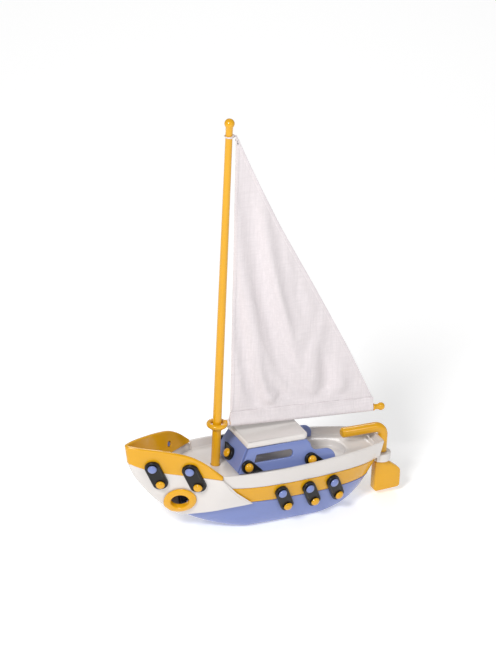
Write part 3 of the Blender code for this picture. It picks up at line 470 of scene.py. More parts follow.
def moulded(name, colour, shine=(0.16, 0.24), grain=0.005, gloss=0.45):
    """Injection-moulded plastic: faint flow marks, a very fine grain, rubbed streaks and a few dull patches."""
    s = Shader(name)
    flow = s.noise(26.0, 3.0, (1.0, 1.0, 1.8))
    speck = s.noise(3200.0, 2.0)
    body = s.mix(s.ramp(flow, 0.0, 1.0), tinted(colour, 0.965), tinted(colour, 1.03))
    body = s.mix(s.ramp(speck, 0.0, 0.12, (0.45, 0.7)), body, tinted(colour, 1.12))
    rubbed = s.maths("MULTIPLY", s.ramp(s.noise(900.0, 4.0, (1.0, 0.5, 0.12)), 0.0, 1.0, (0.62, 0.72)),
                     s.ramp(s.noise(30.0, 2.0), 0.0, 0.3, (0.5, 0.8)))
    body = s.mix(rubbed, body, tinted(colour, 1.16))
    s.into("Base Color", body)
    handled = s.noise(70.0, 5.0, (1.0, 1.0, 0.6))
    rough = s.mix(s.ramp(handled, 0.0, 1.0, (0.3, 0.8)), (shine[0],) * 3 + (1.0,), (shine[1],) * 3 + (1.0,))
    s.into("Roughness", rough)
    s.bumps((speck, grain, 0.5), (handled, 0.004, 0.2))
    s.set(Specular_IOR_Level=gloss, IOR=1.5, Coat_Weight=gloss * 0.4, Coat_Roughness=0.06)
    return s.material


def woven(name, colour):
    """Plain-weave cotton: crossed threads, thicker slubs along both, and a soft nap."""
    s = Shader(name)
    heights = []
    for direction in ("X", "Z"):
        wave = s.node("ShaderNodeTexWave", wave_type="BANDS", bands_direction=direction)
        wave.inputs["Scale"].default_value = 620.0
        wave.inputs["Distortion"].default_value = 0.6
        wave.inputs["Detail"].default_value = 1.0
        wave.inputs["Detail Scale"].default_value = 0.4
        s.tree.links.new(s.place, wave.inputs["Vector"])
        heights.append(wave.outputs["Fac"])
    weave = s.maths("MULTIPLY", *heights)
    warp = s.noise(900.0, 3.0, (1.0, 1.0, 0.05))
    weft = s.noise(900.0, 3.0, (0.05, 1.0, 1.0))
    slubs = s.maths("MULTIPLY", s.ramp(warp, 0.35, 1.0, (0.3, 0.7)), s.ramp(weft, 0.45, 1.0, (0.3, 0.7)))
    cloth = s.mix(s.ramp(slubs, 0.0, 1.0, (0.15, 0.85)), tinted(colour, 0.885), tinted(colour, 1.03))
    cloth = s.mix(s.ramp(weave, 0.0, 0.5, (0.2, 0.9)), cloth, tinted(colour, 1.06))
    stain = s.noise(22.0, 3.0)
    s.into("Base Color", s.mix(s.ramp(stain, 0.0, 0.3), cloth, tinted(colour, 0.94)))
    s.into("Roughness", s.ramp(slubs, 0.92, 0.78))
    s.set(Sheen_Weight=0.22, Sheen_Roughness=0.5, Specular_IOR_Level=0.2)
    s.bumps((weave, 0.12, 0.4), (slubs, 0.12, 0.3))
    return s.material


YELLOW = (0.74, 0.37, 0.006)
BLUE = (0.19, 0.245, 0.52)
WHITE = (0.72, 0.685, 0.66)
BLACK = (0.008, 0.008, 0.009)
CLOTH = (0.76, 0.705, 0.72)

yellow = moulded("yellow_plastic", YELLOW)
blue = moulded("blue_plastic", BLUE)
white = moulded("white_plastic", WHITE, (0.2, 0.28))
black = moulded("black_plastic", BLACK, (0.3, 0.4), 0.008, 0.3)
cloth = woven("sail_cloth", CLOTH)
thread = woven("sail_thread", tinted(CLOTH, 1.06))


# Hull -----------------------------------------------------------------------------------------------------


def build_hull_bottom():
    loops = []
    for x in spread(HULL_FROM, HULL_TO, 84):
        top = max(seam_z(x), keel_z(x) + 0.9)
        low = keel_z(x)
        foot = min(low + WALL, top - EDGE_R - 0.05)
        outer, inner = [], []
        for s in spread(1.0, 0.0, 26):
            z = low + (top - EDGE_R - low) * s * s
            outer.append(Vector((x, max(half(x, z) - HULL_INSET, 0.3), z)))
            z = foot + (top - EDGE_R - foot) * s * s
            inner.append(Vector((x, max(half(x, z) - HULL_INSET - WALL, 0.1), z)))
        breadth = max(half(x, top) - HULL_INSET, 0.3)
        wall = min(WALL, breadth - 0.1)
        across, up = Vector((0, 1, 0)), Vector((0, 0, 1))
        port = [Vector((p.x, -p.y, p.z)) for p in reversed(outer)]
        port_in = [Vector((p.x, -p.y, p.z)) for p in inner]
        loop = outer + port + lip(Vector((x, -breadth, top)), across, up, wall, min(EDGE_R, wall * 0.45))
        loop += port_in + list(reversed(inner))
        loop += lip(Vector((x, breadth - wall, top)), across, up, wall, min(EDGE_R, wall * 0.45))
        loops.append(loop)
    piece("fine_hull_bottom", mesh_from("fine_hull_bottom", lofted(loops)), blue, "boat", ["hull_bottom"])


def build_side_band(side_name, side):
    loops = []
    for x in spread(BAND_FROM, BAND_TO, 90):
        low, high = max(seam_z(x) + GAP, keel_z(x) + 0.1), rim_low_z(x) - GAP
        heights = spread(low + EDGE_R, high - EDGE_R, 9)

        def at(z, depth):
            return Vector((x, side * max(half(x, z) - HULL_INSET - depth, 0.4 - depth * 0.1), z))

        wall = abs(at(high, 0.0).y - at(high, WALL).y)
        inward = Vector((0, -side, 0))
        loop = [at(z, 0.0) for z in heights]
        loop += lip(at(high, 0.0), inward, Vector((0, 0, 1)), wall, EDGE_R * 0.9)
        wall = abs(at(low, 0.0).y - at(low, WALL).y)
        loop += [at(z, WALL) for z in reversed(heights)]
        loop += lip(at(low, WALL), -inward, Vector((0, 0, -1)), wall, min(EDGE_R * 0.9, wall * 0.45))
        loops.append(loop)
    name = "fine_side_band_" + side_name
    piece(name, mesh_from(name, lofted(loops)), yellow, "boat", ["side_band_" + side_name])


def stem_x(z):
    """Where the stem crosses a height, found by halving."""
    fore, aft = KEEL_Z[0][0], KEEL_FLAT_FROM
    for _ in range(30):
        middle = (fore + aft) / 2
        if keel_z(middle) > z:
            fore = middle
        else:
            aft = middle
    return aft


def both_sides(half_row):
    """A row that starts on the centre line, mirrored to port."""
    return [Vector((v.x, -v.y, v.z)) for v in reversed(half_row[1:])] + half_row


def along(points, share):
    """A point at a share of an open outline's length."""
    lengths = [math.dist(a, b) for a, b in zip(points, points[1:])]
    left = share * sum(lengths)
    for a, b, length in zip(points, points[1:], lengths):
        if left <= length or (a, b) == (points[-2], points[-1]):
            t = left / length
            return (a[0] + (b[0] - a[0]) * t, a[1] + (b[1] - a[1]) * t)
        left -= length
    return points[-1]


def curved(points, count):
    """A smooth open curve through a few (x, z) points, sampled evenly by station."""
    line = fair(points) if points[0][0] < points[-1][0] else fair(tuple(reversed(points)))
    return [(x, line(x)) for x in spread(points[0][0], points[-1][0], count)]


def bulwark_rows():
    rows = []
    for share in spread(0.0, 1.0, 15):
        height = BULWARK_STEM_Z[0] + share * (BULWARK_STEM_Z[1] - BULWARK_STEM_Z[0])
        start = stem_x(height)
        row = [Vector((start - 0.3, 0.0, height))]
        for step in spread(0.0, 1.0, 46):
            x = start + (RIM_FROM - 0.6 - start) * step ** STEM_CROWDING
            low = bulwark_low_z(x) + 0.2
            z = low + (max(top_z(x), low + 0.3) - low) * share
            row.append(Vector((x, half(x, z), z)))
        rows.append(both_sides(row))
    return rows


def shell_rows():
    """Two cheeks that meet round the stem: a patch between the stem, the top edge and the two tail edges."""
    top_from = stem_x(SHELL_STEM_Z)
    top = [(x, bulwark_low_z(x) - 0.2) for x in spread(top_from, CHEEK_AFT[0][0], 40)]
    aft = list(reversed(curved(CHEEK_AFT, 30)))
    low = curved(CHEEK_LOW, 30)
    stem = [(x, keel_z(x)) for x in spread(low[0][0], top_from, 50)]
    rows = []
    for t in spread(0.0, 1.0, 30):
        row = []
        for s in [step ** STEM_CROWDING for step in spread(0.0, 1.0, 46)]:
            sides = [(along(stem, t), 1 - s), (along(aft, t), s), (along(low, s), 1 - t), (along(top, s), t)]
            corners = [(low[0], (1 - s) * (1 - t)), (low[-1], s * (1 - t)), (top[0], (1 - s) * t),
                       (top[-1], s * t)]
            x, z = (sum(p[k] * w for p, w in sides) - sum(p[k] * w for p, w in corners) for k in (0, 1))
            row.append(Vector((x, 0.0 if s == 0 else half(x, z), z)))
        rows.append(both_sides(row))
    return rows


def proud_shell(rows, wall, radius):
    """A closed shell pushed out proud of the skin from an open grid, with rounded rims and ends."""
    count, width = len(rows), len(rows[0])
    steps = 4
    columns = []
    for u in range(width):
        before, after = max(u - 1, 0), min(u + 1, width - 1)
        outer, inner, ups = [], [], []
        for v in range(count):
            below, above = max(v - 1, 0), min(v + 1, count - 1)
            up = rows[above][u] - rows[below][u]
            out = up.cross(rows[v][after] - rows[v][before]).normalized()
            if out.dot(Vector((-0.25, rows[v][u].y * 0.1, -0.05))) < 0:
                out = -out
            if abs(rows[v][u].y) < 1e-6:
                out = Vector((out.x, 0.0, out.z)).normalized()
            outer.append(rows[v][u] + out * BOW_PROUD)
            inner.append(rows[v][u] + out * (BOW_PROUD - wall))
            ups.append(up.normalized())
        out_top = (inner[-1] - outer[-1]).normalized()
        out_low = (outer[0] - inner[0]).normalized()
        loop = outer[1:-1] + lip(outer[-1], out_top, ups[-1], wall, radius, steps)
        loop += list(reversed(inner[1:-1])) + lip(inner[0], out_low, -ups[0], wall, radius, steps)
        columns.append(loop)
    face = count - 2 + 2 * steps
    last = face + count - 2 - 1

    def partner(k):
        return last - k if k <= last else len(columns[0]) - 1 - (k - last - 1)

    def ended(loop, inner_loop):
        rings = []
        reach = wall / 2
        for a in spread(0.0, math.pi / 2, 5)[1:]:
            ring = []
            for k, p in enumerate(loop):
                middle = (p + loop[partner(k)]) / 2
                forward = (p - inner_loop[k]).normalized()
                squeeze = 1 - radius / reach * (1 - math.cos(a))
                ring.append(middle + (p - middle) * squeeze + forward * radius * math.sin(a) * 0.8)
            rings.append(ring)
        return rings

    first = list(reversed(ended(columns[0], columns[1])))
    return lofted(first + columns + ended(columns[-1], columns[-2]))


def peg(radius, low, high, count):
    """A straight round cutter along +Z."""
    return lofted([[Vector((*p, h)) for p in circle(radius, count)] for h in (low, high)])


def bore(x, z, side, radius):
    """A cutter through the skin, square to it."""
    out = skin_frame(x, z, side)[0]
    return moved(peg(radius, -9.0, 9.0, 32), aimed(skin(x, z, side), out))


def build_bow():
    bulwark = mesh_from("fine_bow_bulwark", proud_shell(bulwark_rows(), BULWARK_WALL, 0.8))
    shell = mesh_from("fine_bow_shell", proud_shell(shell_rows(), BOW_SHELL_WALL, 0.45))
    holes = []
    for side in (-1, 1):
        for at in BOW_CLIPS:
            origin, out = pin_seat(at, side, BOW_PROUD + GAP, 1)
            holes.append(moved(peg(PIN_R + 0.45, -12.0, 1.0, 24), aimed(origin, out)))
    bulwark = cut(bulwark, *holes)
    shell = cut(shell, *[bore(*HAWSE_AT, side, HAWSE_R - 1.9) for side in (-1, 1)])
    piece("fine_bow_bulwark", bulwark, yellow, "boat", ["bow_bulwark"])
    piece("fine_bow_shell", shell, white, "boat", ["bow_shell"])


# Deck tub -------------------------------------------------------------------------------------------------


def well_breadth(x):
    return half(x, deck_z(x)) - WALL - WELL_LEDGE


WELL_END_R = well_breadth(WELL_TO - 12)
WELL_CENTRE_X = WELL_TO - WELL_END_R
WELL_FLOOR = RIM_Z_AT_BREAK + RIM_SLOPE * RIM_FROM - WELL_DROP


def well_profile(x):
    """The well's lip, wall and floor at a station, as (distance inside its outline, height)."""
    deck = deck_z(x)
    edge = [(-WELL_EDGE_R + WELL_EDGE_R * math.cos(a), deck - WELL_EDGE_R + WELL_EDGE_R * math.sin(a))
            for a in spread(math.pi / 2, 0.0, 5)]
    foot = [(WELL_FILLET * (1 - math.cos(a)), WELL_FLOOR + WELL_FILLET * (1 - math.sin(a)))
            for a in spread(0.0, math.pi / 2, 6)]
    return edge + foot


def profile_height(profile, distance):
    """The profile's height at a distance inside the outline."""
    if distance <= profile[0][0]:
        return profile[0][1]
    for (d0, z0), (d1, z1) in zip(profile, profile[1:]):
        if d0 <= distance <= d1 and d1 > d0:
            return z0 + (z1 - z0) * (distance - d0) / (d1 - d0)
    return profile[-1][1]


def deck_height(x):
    """The deck's height along the boat, with the stern shelf and the transom's inner face."""
    deck = deck_z(x)
    if x <= SHELF_FROM:
        return deck
    ramp = min((x - SHELF_FROM) / SHELF_RAMP, 1.0)
    shelf = deck + SHELF_RISE * ramp * ramp * (3 - 2 * ramp)
    inner = TRANSOM_X - WALL
    if x <= inner - 1.0:
        return shelf
    if x <= inner:
        return shelf + 1.0 - math.sqrt(max(1.0 - (x - inner + 1.0) ** 2, 0.0))
    top = rim_z(x) - RIM_R
    rise = min((x - inner) / RIM_R, 1.0)
    return top + RIM_R * math.sqrt(max(1 - (1 - rise) ** 2, 0.0))


def tub_loop(x, shrink=0.0):
    """One closed section of the tub: underside, outer side, rim, inner side, deck, well wall and floor."""
    fore = x < RIM_FROM
    start = min(max((x - RIM_FROM) / RIM_R, 0.0), 1.0)
    easing = RIM_R * (1 - math.sqrt(max(1 - (1 - start) ** 2, 0.0)))
    rim = deck_z(x) if fore else rim_z(x) - easing
    inset = FOREDECK_INSET if fore else RIM_INSET + easing
    under = deck_z(x) - BOW_PLATE if fore else rim_low_z(x)
    floor = deck_height(x)
    wall = WALL if not fore else 1.0

    def side_at(z, depth=0.0):
        return Vector((x, max(tub_half(x, z) - inset - depth - shrink, 0.3), z))

    up = Vector((0, 0, 1))
    right = [Vector((x, y, under + shrink)) for y in spread(0.0, side_at(under).y - EDGE_R, 4)]
    right += [side_at(z) for z in spread(under + EDGE_R + shrink, rim - RIM_R - shrink, 9)]
    over = lip(side_at(rim) - up * shrink, Vector((0, -1, 0)), up, wall, RIM_R if not fore else 0.45, 5)
    inside = [side_at(z, wall) for z in spread(rim - RIM_R, floor + DECK_FILLET, 7)]
    foot = side_at(floor, wall)
    curve = [foot + Vector((0, -DECK_FILLET * (1 - math.cos(a)), DECK_FILLET * (1 - math.sin(a))))
             for a in spread(0.0, math.pi / 2, 5)]
    inner = over[5:] + inside + curve
    top = max(rim - shrink, floor)
    inner = [Vector((p.x, min(p.y, over[5].y), min(max(p.z, floor), top))) for p in inner]
    right += over[:5] + inner
    profile = well_profile(x)
    centre_distance = WELL_END_R - (x - WELL_CENTRE_X)
    least = max(profile_height(profile, x - WELL_FROM), profile_height(profile, centre_distance))
    for distance, height in profile:
        if x < WELL_CENTRE_X:
            y = well_breadth(max(x, WELL_FROM)) - distance
        else:
            y = math.sqrt(max((WELL_END_R - distance) ** 2 - (x - WELL_CENTRE_X) ** 2, 0.0))
        if distance == profile[0][0]:
            y = min(max(y, 0.0), right[-1].y)
        z = max(height, least)
        if least >= deck_z(x):
            z = max(z, floor)
        right.append(Vector((x, min(y, max(foot.y - DECK_FILLET, 0.0)), z)))
    last = right[-1]
    right.append(Vector((x, last.y * 0.5, last.z)))
    right.append(Vector((x, 0.0, last.z)))
    left = [Vector((p.x, -p.y, p.z)) for p in reversed(right)]
    return right + left


def build_deck_tub():
    stations = spread(FOREDECK_FROM, RIM_FROM - 0.02, 12) + spread(RIM_FROM, RIM_FROM + RIM_R, 5)
    stations += spread(RIM_FROM + 2.0, WELL_FROM - 1.2, 12)
    stations += spread(WELL_FROM - WELL_EDGE_R, WELL_FROM + WELL_FILLET, 8)
    stations += spread(WELL_FROM + 3.0, WELL_CENTRE_X - 1.0, 48)
    stations += [WELL_CENTRE_X + WELL_END_R * math.sin(math.radians(a)) for a in spread(0, 84, 15)]
    stations += [WELL_TO + d for d in (-0.15, -0.01, 0.01, 0.12, 0.3, 0.5, 0.7, 0.9)]
    inner = TRANSOM_X - WALL
    stations += spread(WELL_TO + 2.5, SHELF_FROM, 12) + spread(SHELF_FROM, SHELF_FROM + SHELF_RAMP, 7)[1:]
    stations += spread(inner - 1.0, inner, 7) + spread(inner + 0.01, inner + RIM_R, 6)
    loops = [tub_loop(x) for x in stations]
    for a in spread(0.0, math.pi / 2, 5):
        x = TRANSOM_X - RIM_R * (1 - math.sin(a))
        loops.append(tub_loop(x, RIM_R * (1 - math.cos(a))))
    low, high = LUG_HIGH - LUG_HEIGHT, LUG_HIGH
    # The lug has no bore here: the tiller's shaft runs through its middle, out of sight.
    lug = turned(softened([(0.0, high), (LUG_R, high), (LUG_R, low), (0.0, low)], 0.8), 64)
    lug = moved(lug, Matrix.Translation((RUDDER_X, 0, 0)))
    web_loop = [(5.5, high - 0.5), (5.5, low + 0.5), (-5.5, low + 0.5), (-5.5, high - 0.5)]
    web = lofted([[Vector((x, *p)) for p in web_loop] for x in (TRANSOM_X - 1.5, RUDDER_X)])
    socket = lofted([[Vector((MAST_X + p[0], p[1], h)) for p in circle(MAST_FOOT_R + 0.35, 40)]
                     for h in (deck_z(MAST_X) - 3.5, deck_z(MAST_X) + 3.0)])
    tub = cut(mesh_from("tub", lofted(loops)), socket)
    extra = mesh_from("extra", merged(lug, web))
    joined = bmesh.new()
    joined.from_mesh(tub)
    joined.from_mesh(extra)
    joined.to_mesh(tub)
    joined.free()
    tub.shade_smooth()
    tub.set_sharp_from_angle(angle=math.radians(40))
    piece("fine_deck_tub", tub, white, "boat", ["deck_tub"])


# Cabin ----------------------------------------------------------------------------------------------------


def cabin_side_matrix(side):
    """Local X runs aft, local Y runs up the leaning wall, local Z points outwards."""
    lean = math.atan(CABIN_TUMBLE)
    up = Vector((0.0, -side * math.sin(lean), math.cos(lean)))
    out = Vector((0.0, side * math.cos(lean), math.sin(lean)))
    origin = Vector((0.0, side * CABIN_TOP_HALF, CABIN_TOP_Z)) - out * CABIN_WALL
    return frame_matrix(origin, Vector((1.0, 0.0, 0.0)), up, out)


def cabin_front_matrix():
    """Local X runs to port, local Y up the raked panel, local Z points forward."""
    lean = math.atan(CABIN_RAKE)
    up = Vector((math.sin(lean), 0.0, math.cos(lean)))
    out = Vector((-math.cos(lean), 0.0, math.sin(lean)))
    origin = Vector((CABIN_FRONT_X, 0.0, CABIN_TOP_Z)) - out * CABIN_WALL
    return frame_matrix(origin, up.cross(out), up, out)


def sill(x, slope):
    """How far down a leaning wall's own plane its foot is, just clear of the deck at station x."""
    lean = math.atan(slope)
    return -(CABIN_TOP_Z - CABIN_WALL * math.sin(lean) - deck_z(x) - GAP) / math.cos(lean)


def cabin_side_loops():
    rake = CABIN_RAKE * math.cos(math.atan(CABIN_TUMBLE))
    front = CABIN_FRONT_X + 0.9
    base = sill(CABIN_FOOT_X, CABIN_TUMBLE)
    quarter_fore = arc((19.5, -3.6), 5.6, 180, 270, 14)
    tail_end = arc((25.5, -17.0), 7.6, 88, 8, 18)
    outline = [(front + rake * base, base), (33.4, sill(33.4, CABIN_TUMBLE))] + list(reversed(tail_end))
    outline += list(reversed(quarter_fore)) + [(11.0, -0.1), (front, -0.1)]
    corner = arc((-29.6, -10.2), 1.0, 270, 200, 5) + arc((-27.9, -6.4), 1.0, 160, 90, 5)
    slot = corner + arc((-3.0, -8.3), 2.9, 90, -90, 14)
    return [outline, slot]


def build_cabin():
    for side_name, side in (("port", -1), ("starboard", 1)):
        mesh = plate(cabin_side_loops(), CABIN_WALL, CABIN_EDGE_R)
        mesh.transform(in_metres(cabin_side_matrix(side)))
        finish_mesh(mesh, 50.0)
        piece("fine_cabin_side_" + side_name, mesh, blue, "boat", ["cabin_side_" + side_name])
    low = sill(CABIN_FRONT_FOOT_X, CABIN_RAKE)
    inner = CABIN_TOP_HALF - CABIN_WALL - GAP - 0.1
    wide = inner + CABIN_TUMBLE * (CABIN_TOP_Z - deck_z(CABIN_FOOT_X))
    mesh = plate([[(-wide, low), (wide, low), (inner, -0.1), (-inner, -0.1)]], CABIN_WALL, 0.35)
    mesh.transform(in_metres(cabin_front_matrix()))
    piece("fine_cabin_front", mesh, blue, "boat", ["cabin_front"])
    plan = [(CABIN_FRONT_X - 1.2, ROOF_HALF - 0.6), (CABIN_FRONT_X - 0.6, ROOF_HALF)]
    plan += arc((ROOF_AFT_X - ROOF_CORNER, ROOF_HALF - ROOF_CORNER), ROOF_CORNER, 90, 0, 14)
    mesh = plate([plan + [(x, -y) for x, y in reversed(plan)]], ROOF_THICK, ROOF_EDGE_R)
    mesh.transform(Matrix.Translation(Vector((0, 0, CABIN_TOP_Z + GAP)) * MM))
    piece("fine_cabin_roof", mesh, white, "boat", ["cabin_roof"])


# Clips and pins -------------------------------------------------------------------------------------------


def clip_place(at, side, height):
    """A rule from a double clip's own (across, along, height) to its place on the skin."""
    centre_x, centre_z = at
    climb = skin_frame(centre_x, centre_z, side)[2].z
    lean = math.radians(CLIP_LEAN)

    def to_skin(a, b, h):
        x = centre_x + a * math.cos(lean) - b * math.sin(lean)
        z = centre_z + (b * math.cos(lean) + a * math.sin(lean)) * climb
        return off_skin(x, z, side, height + h)

    return to_skin


def pin_seat(at, side, height, end):
    to_skin = clip_place(at, side, height)
    outer = to_skin(0.0, end * CLIP_SPACING / 2, CLIP_THICK + PIN_STANDOFF)
    inner = to_skin(0.0, end * CLIP_SPACING / 2, 0.0)
    return outer, (outer - inner).normalized()


def pin_shape(length):
    head = [(0.0, 2.2), (0.9, 2.17), (1.75, 2.0), (2.45, 1.65), (2.95, 1.12), (3.2, 0.55), (3.26, 0.28)]
    foot = softened([(3.26, 0.28), (3.2, 0.0), (PIN_R, 0.0), (PIN_R, -length + 1.9), (2.2, -length + 1.3),
                     (PIN_R - 0.3, -length), (0.0, -length)], 0.2, 3)
    return turned(head + foot[1:], 40)


def set_pin(node, material, origin, out, length):
    name = "fine_" + node
    piece(name, mesh_from(name, moved(pin_shape(length), aimed(origin, out))), material, "boat", [node])


# A clip's surface from its foot up and inwards: how far in from the outline, and how high.
CLIP_RELIEF = ((0.0, 0.0), (0.0, 1.7), (0.12, 2.05), (0.4, 2.3), (0.75, 2.38), (1.05, 2.34), (1.25, 2.16),
               (1.5, 2.08), (2.2, 2.08), (3.2, 2.08), (4.2, 2.08), (4.99, 2.08))


def stadium(length, radius, count=20):
    straight = [(radius, y) for y in spread(-length / 2, length / 2, 10)[1:-1]]
    return (arc((0.0, length / 2), radius, 0, 180, count) + [(-x, -y) for x, y in straight]
            + arc((0.0, -length / 2), radius, 180, 360, count) + straight)


def build_double_clip(name, side, at, height, depth):
    to_skin = clip_place(at, side, height)
    loops = []
    for inset, h in CLIP_RELIEF:
        ring = stadium(CLIP_SPACING, CLIP_R - inset)
        loops.append([to_skin(a, b, h) for a, b in ring])
    under = [to_skin(a * 0.02, b, 0.0) for a, b in stadium(CLIP_SPACING, 0.4)]
    shape = lofted([under] + loops, caps=False)
    piece("fine_" + name, mesh_from("fine_" + name, shape), black, "boat", [name])
    for end, part, material in ((1, "upper_pin", blue), (-1, "lower_pin", yellow)):
        origin, out = pin_seat(at, side, height, end)
        set_pin(name.replace("clip", part), material, origin, out, PIN_STANDOFF + CLIP_THICK + GAP + depth)


def between(a, b, count):
    """The inner points of a straight stretch from a to b."""
    return [(a[0] + (b[0] - a[0]) * t, a[1] + (b[1] - a[1]) * t) for t in spread(0, 1, count)[1:-1]]


def build_corner_clip(corner, matrix, at, tail):
    """A flat eyelet whose tail narrows to a point with two sloping facets."""
    direction = Vector(tail)
    reach = direction.length
    turn = math.atan2(direction.y, direction.x)
    opening = math.degrees(math.acos(EYELET_R / reach))
    outline = arc((0.0, 0.0), EYELET_R, opening, 360 - opening, 40)
    tip = (reach, 0.0)
    start, end = outline[0], outline[-1]
    upper, lower = [(tip[0] - 0.6 * (tip[0] - far[0]) / reach, tip[1] - 0.6 * (tip[1] - far[1]) / reach)
                    for far in (end, start)]
    outline += between(end, upper, 10) + [upper, (tip[0] - 0.25, 0.0), lower] + between(lower, start, 10)
    spine_end = reach * 0.86
    loops = []
    for inset, h in CLIP_RELIEF:
        ring = []
        for x, y in outline:
            sx = min(max(x, 0.0), spine_end)
            width = max(math.hypot(x - sx, y), 0.01)
            if width < EYELET_R:
                keep = max(1 - inset / max(width, EYELET_R * 0.35), 0.02)
            else:
                keep = max(1 - inset / width, 0.01)
            slope = 1.0 - 0.45 * max(sx - EYELET_R * 0.6, 0.0) / reach
            px, py = sx + (x - sx) * keep, y * keep
            local = (px * math.cos(turn) - py * math.sin(turn) + at[0],
                     px * math.sin(turn) + py * math.cos(turn) + at[1], CABIN_WALL + GAP + h * slope)
            ring.append(matrix @ Vector(local))
        loops.append(ring)
    middle = matrix @ Vector((at[0], at[1], CABIN_WALL + GAP))
    under = [middle + (p - middle) * 0.02 for p in loops[0]]
    name = "fine_cabin_clip_" + corner
    piece(name, mesh_from(name, lofted([under] + loops)), black, "boat", ["cabin_clip_" + corner])
    out = (matrix.to_3x3() @ Vector((0, 0, 1))).normalized()
    origin = matrix @ Vector((at[0], at[1], CABIN_WALL + GAP + CLIP_THICK + PIN_STANDOFF))
    set_pin("cabin_pin_" + corner, yellow, origin, out, CABIN_PIN_LENGTH)


def build_clips():
    for side, side_name in ((-1, "port"), (1, "starboard")):
        for i, at in enumerate(BOW_CLIPS):
            build_double_clip(f"bow_clip_{side_name}_{i + 1}", side, at, BOW_PROUD + GAP, SHORT_PIN)
        for i, at in enumerate(SIDE_CLIPS):
            build_double_clip(f"side_clip_{side_name}_{i + 1}", side, at, GAP - HULL_INSET, LONG_PIN)
        for i, at in enumerate(CABIN_PINS):
            build_corner_clip(f"{side_name}_{i + 1}", cabin_side_matrix(side), at, SIDE_TAILS[i])
    build_corner_clip("front", cabin_front_matrix(), FRONT_PIN, FRONT_TAIL)


def build_hawse_ring(side_name, side):
    x0, z0 = HAWSE_AT
    _, aft, up = skin_frame(x0, z0, side)
    lift = BOW_PROUD + 2 * GAP

    def to_skin(a, b, h):
        flat = off_skin(x0, z0, side, lift + h) + aft * a + up * b
        wrapped = off_skin(x0 + a * aft.x + b * up.x, z0 + a * aft.z + b * up.z, side, lift + h)
        return flat.lerp(wrapped, HAWSE_WRAP)

    hole, rim = HAWSE_HOLE_R, HAWSE_R
    corners = [(hole, 1.4), (hole + 0.7, 2.3), (rim - 1.8, 1.95), (rim, 0.9), (rim, 0.0),
               (hole + 1.4, 0.0), (hole + 1.4, -2.6), (hole, -2.6), (hole, 1.4)]
    profile = softened(corners, 0.7, 4)[:-1]
    verts, faces = turned([tuple(p) for p in profile], 72, closed=True)
    shape = [to_skin(*v) for v in verts], faces
    name = "fine_hawse_ring_" + side_name
    piece(name, mesh_from(name, shape), yellow, "boat", ["hawse_ring_" + side_name])


# Spars and steering ---------------------------------------------------------------------------------------


def ball_arc(radius, centre, start, end, count):
    """Points down a ball's outer side, as (radius, height), from start to end degrees below its top."""
    return [(radius * math.sin(math.radians(a)), centre + radius * math.cos(math.radians(a)))
            for a in spread(start, end, count)]


def build_mast():
    foot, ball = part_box("mast")[0].z / MM, MAST_TOP_Z - MAST_BALL_R
    neck = math.degrees(math.asin(MAST_TOP_R / MAST_BALL_R))
    seat = BOOM_Z - BOOM_RING_TUBE - GAP
    seat_r = MAST_TOP_R + (MAST_FOOT_R - MAST_TOP_R) * (ball - seat) / (ball - foot)
    below = softened([(MAST_TOP_R, ball - 6.0), (seat_r, seat), (seat_r + 1.3, seat - 0.3),
                      (seat_r + 1.3, seat - 1.5), (seat_r, seat - 2.0), (MAST_FOOT_R, foot),
                      (0.0, foot)], 0.4)
    profile = ball_arc(MAST_BALL_R, ball, 0, 180 - neck - 4, 26) + [tuple(p) for p in below]
    shape = moved(turned(profile, 48), Matrix.Translation((MAST_X, 0, 0)))
    piece("fine_mast", mesh_from("fine_mast", shape), yellow, "boat", ["mast"])


BOOM_START = Vector((MAST_X, 0.0, BOOM_Z))
BOOM_TIP = Vector((BOOM_END[0], 0.0, BOOM_END[1]))
BOOM_RUN = (BOOM_TIP - BOOM_START).normalized()
BOOM_UP = BOOM_RUN.cross(Vector((0.0, 1.0, 0.0)))
if BOOM_UP.z < 0:
    BOOM_UP = -BOOM_UP


def on_boom(x, rise, out=0.0):
    """A place beside the boom: at station x along it, so far above and to starboard of its middle line."""
    return BOOM_START + BOOM_RUN * ((x - BOOM_START.x) / BOOM_RUN.x) + BOOM_UP * rise + Vector((0, out, 0))


def build_boom():
    length = (BOOM_TIP - BOOM_START).length
    neck = math.degrees(math.asin(BOOM_R / BOOM_BALL_R))
    collar = length - 5.4
    rest = softened([(BOOM_R, length - 3.4), (BOOM_R, collar), (BOOM_R + 0.6, collar - 0.1),
                     (BOOM_R + 0.6, collar - 1.3), (BOOM_R, collar - 1.4), (BOOM_R, BOOM_RING_R + 2.6),
                     (BOOM_R + 0.5, BOOM_RING_R + 1.0), (BOOM_R + 0.5, BOOM_RING_R - 0.4),
                     (0.0, BOOM_RING_R - 0.4)], 0.5)
    profile = ball_arc(BOOM_BALL_R, length, 0, 180 - neck - 4, 22) + [tuple(p) for p in rest]
    across = Vector((0, 1, 0))
    rod = moved(turned(profile, 40), frame_matrix(BOOM_START, across.cross(BOOM_RUN), across, BOOM_RUN))
    ring = turned([(BOOM_RING_R + BOOM_RING_TUBE * math.cos(a), BOOM_RING_TUBE * math.sin(a))
                   for a in spread(math.pi / 2, -1.5 * math.pi, 25)[:-1]], 72, closed=True)
    ring = moved(ring, Matrix.Translation(BOOM_START))
    piece("fine_boom", mesh_from("fine_boom", merged(rod, ring)), yellow, "boom", ["boom"])


def swept(path, section, scales):
    """A bar along a path in the XZ plane. The section's first axis lies along Y."""
    loops = []
    for i, (p, scale) in enumerate(zip(path, scales)):
        before, after = path[max(i - 1, 0)], path[min(i + 1, len(path) - 1)]
        run = (Vector(after) - Vector(before)).normalized()
        across = Vector((0, 1, 0))
        up = run.cross(across)
        loops.append([Vector(p) + across * a * scale + up * b * scale for a, b in section])
    return lofted(loops)


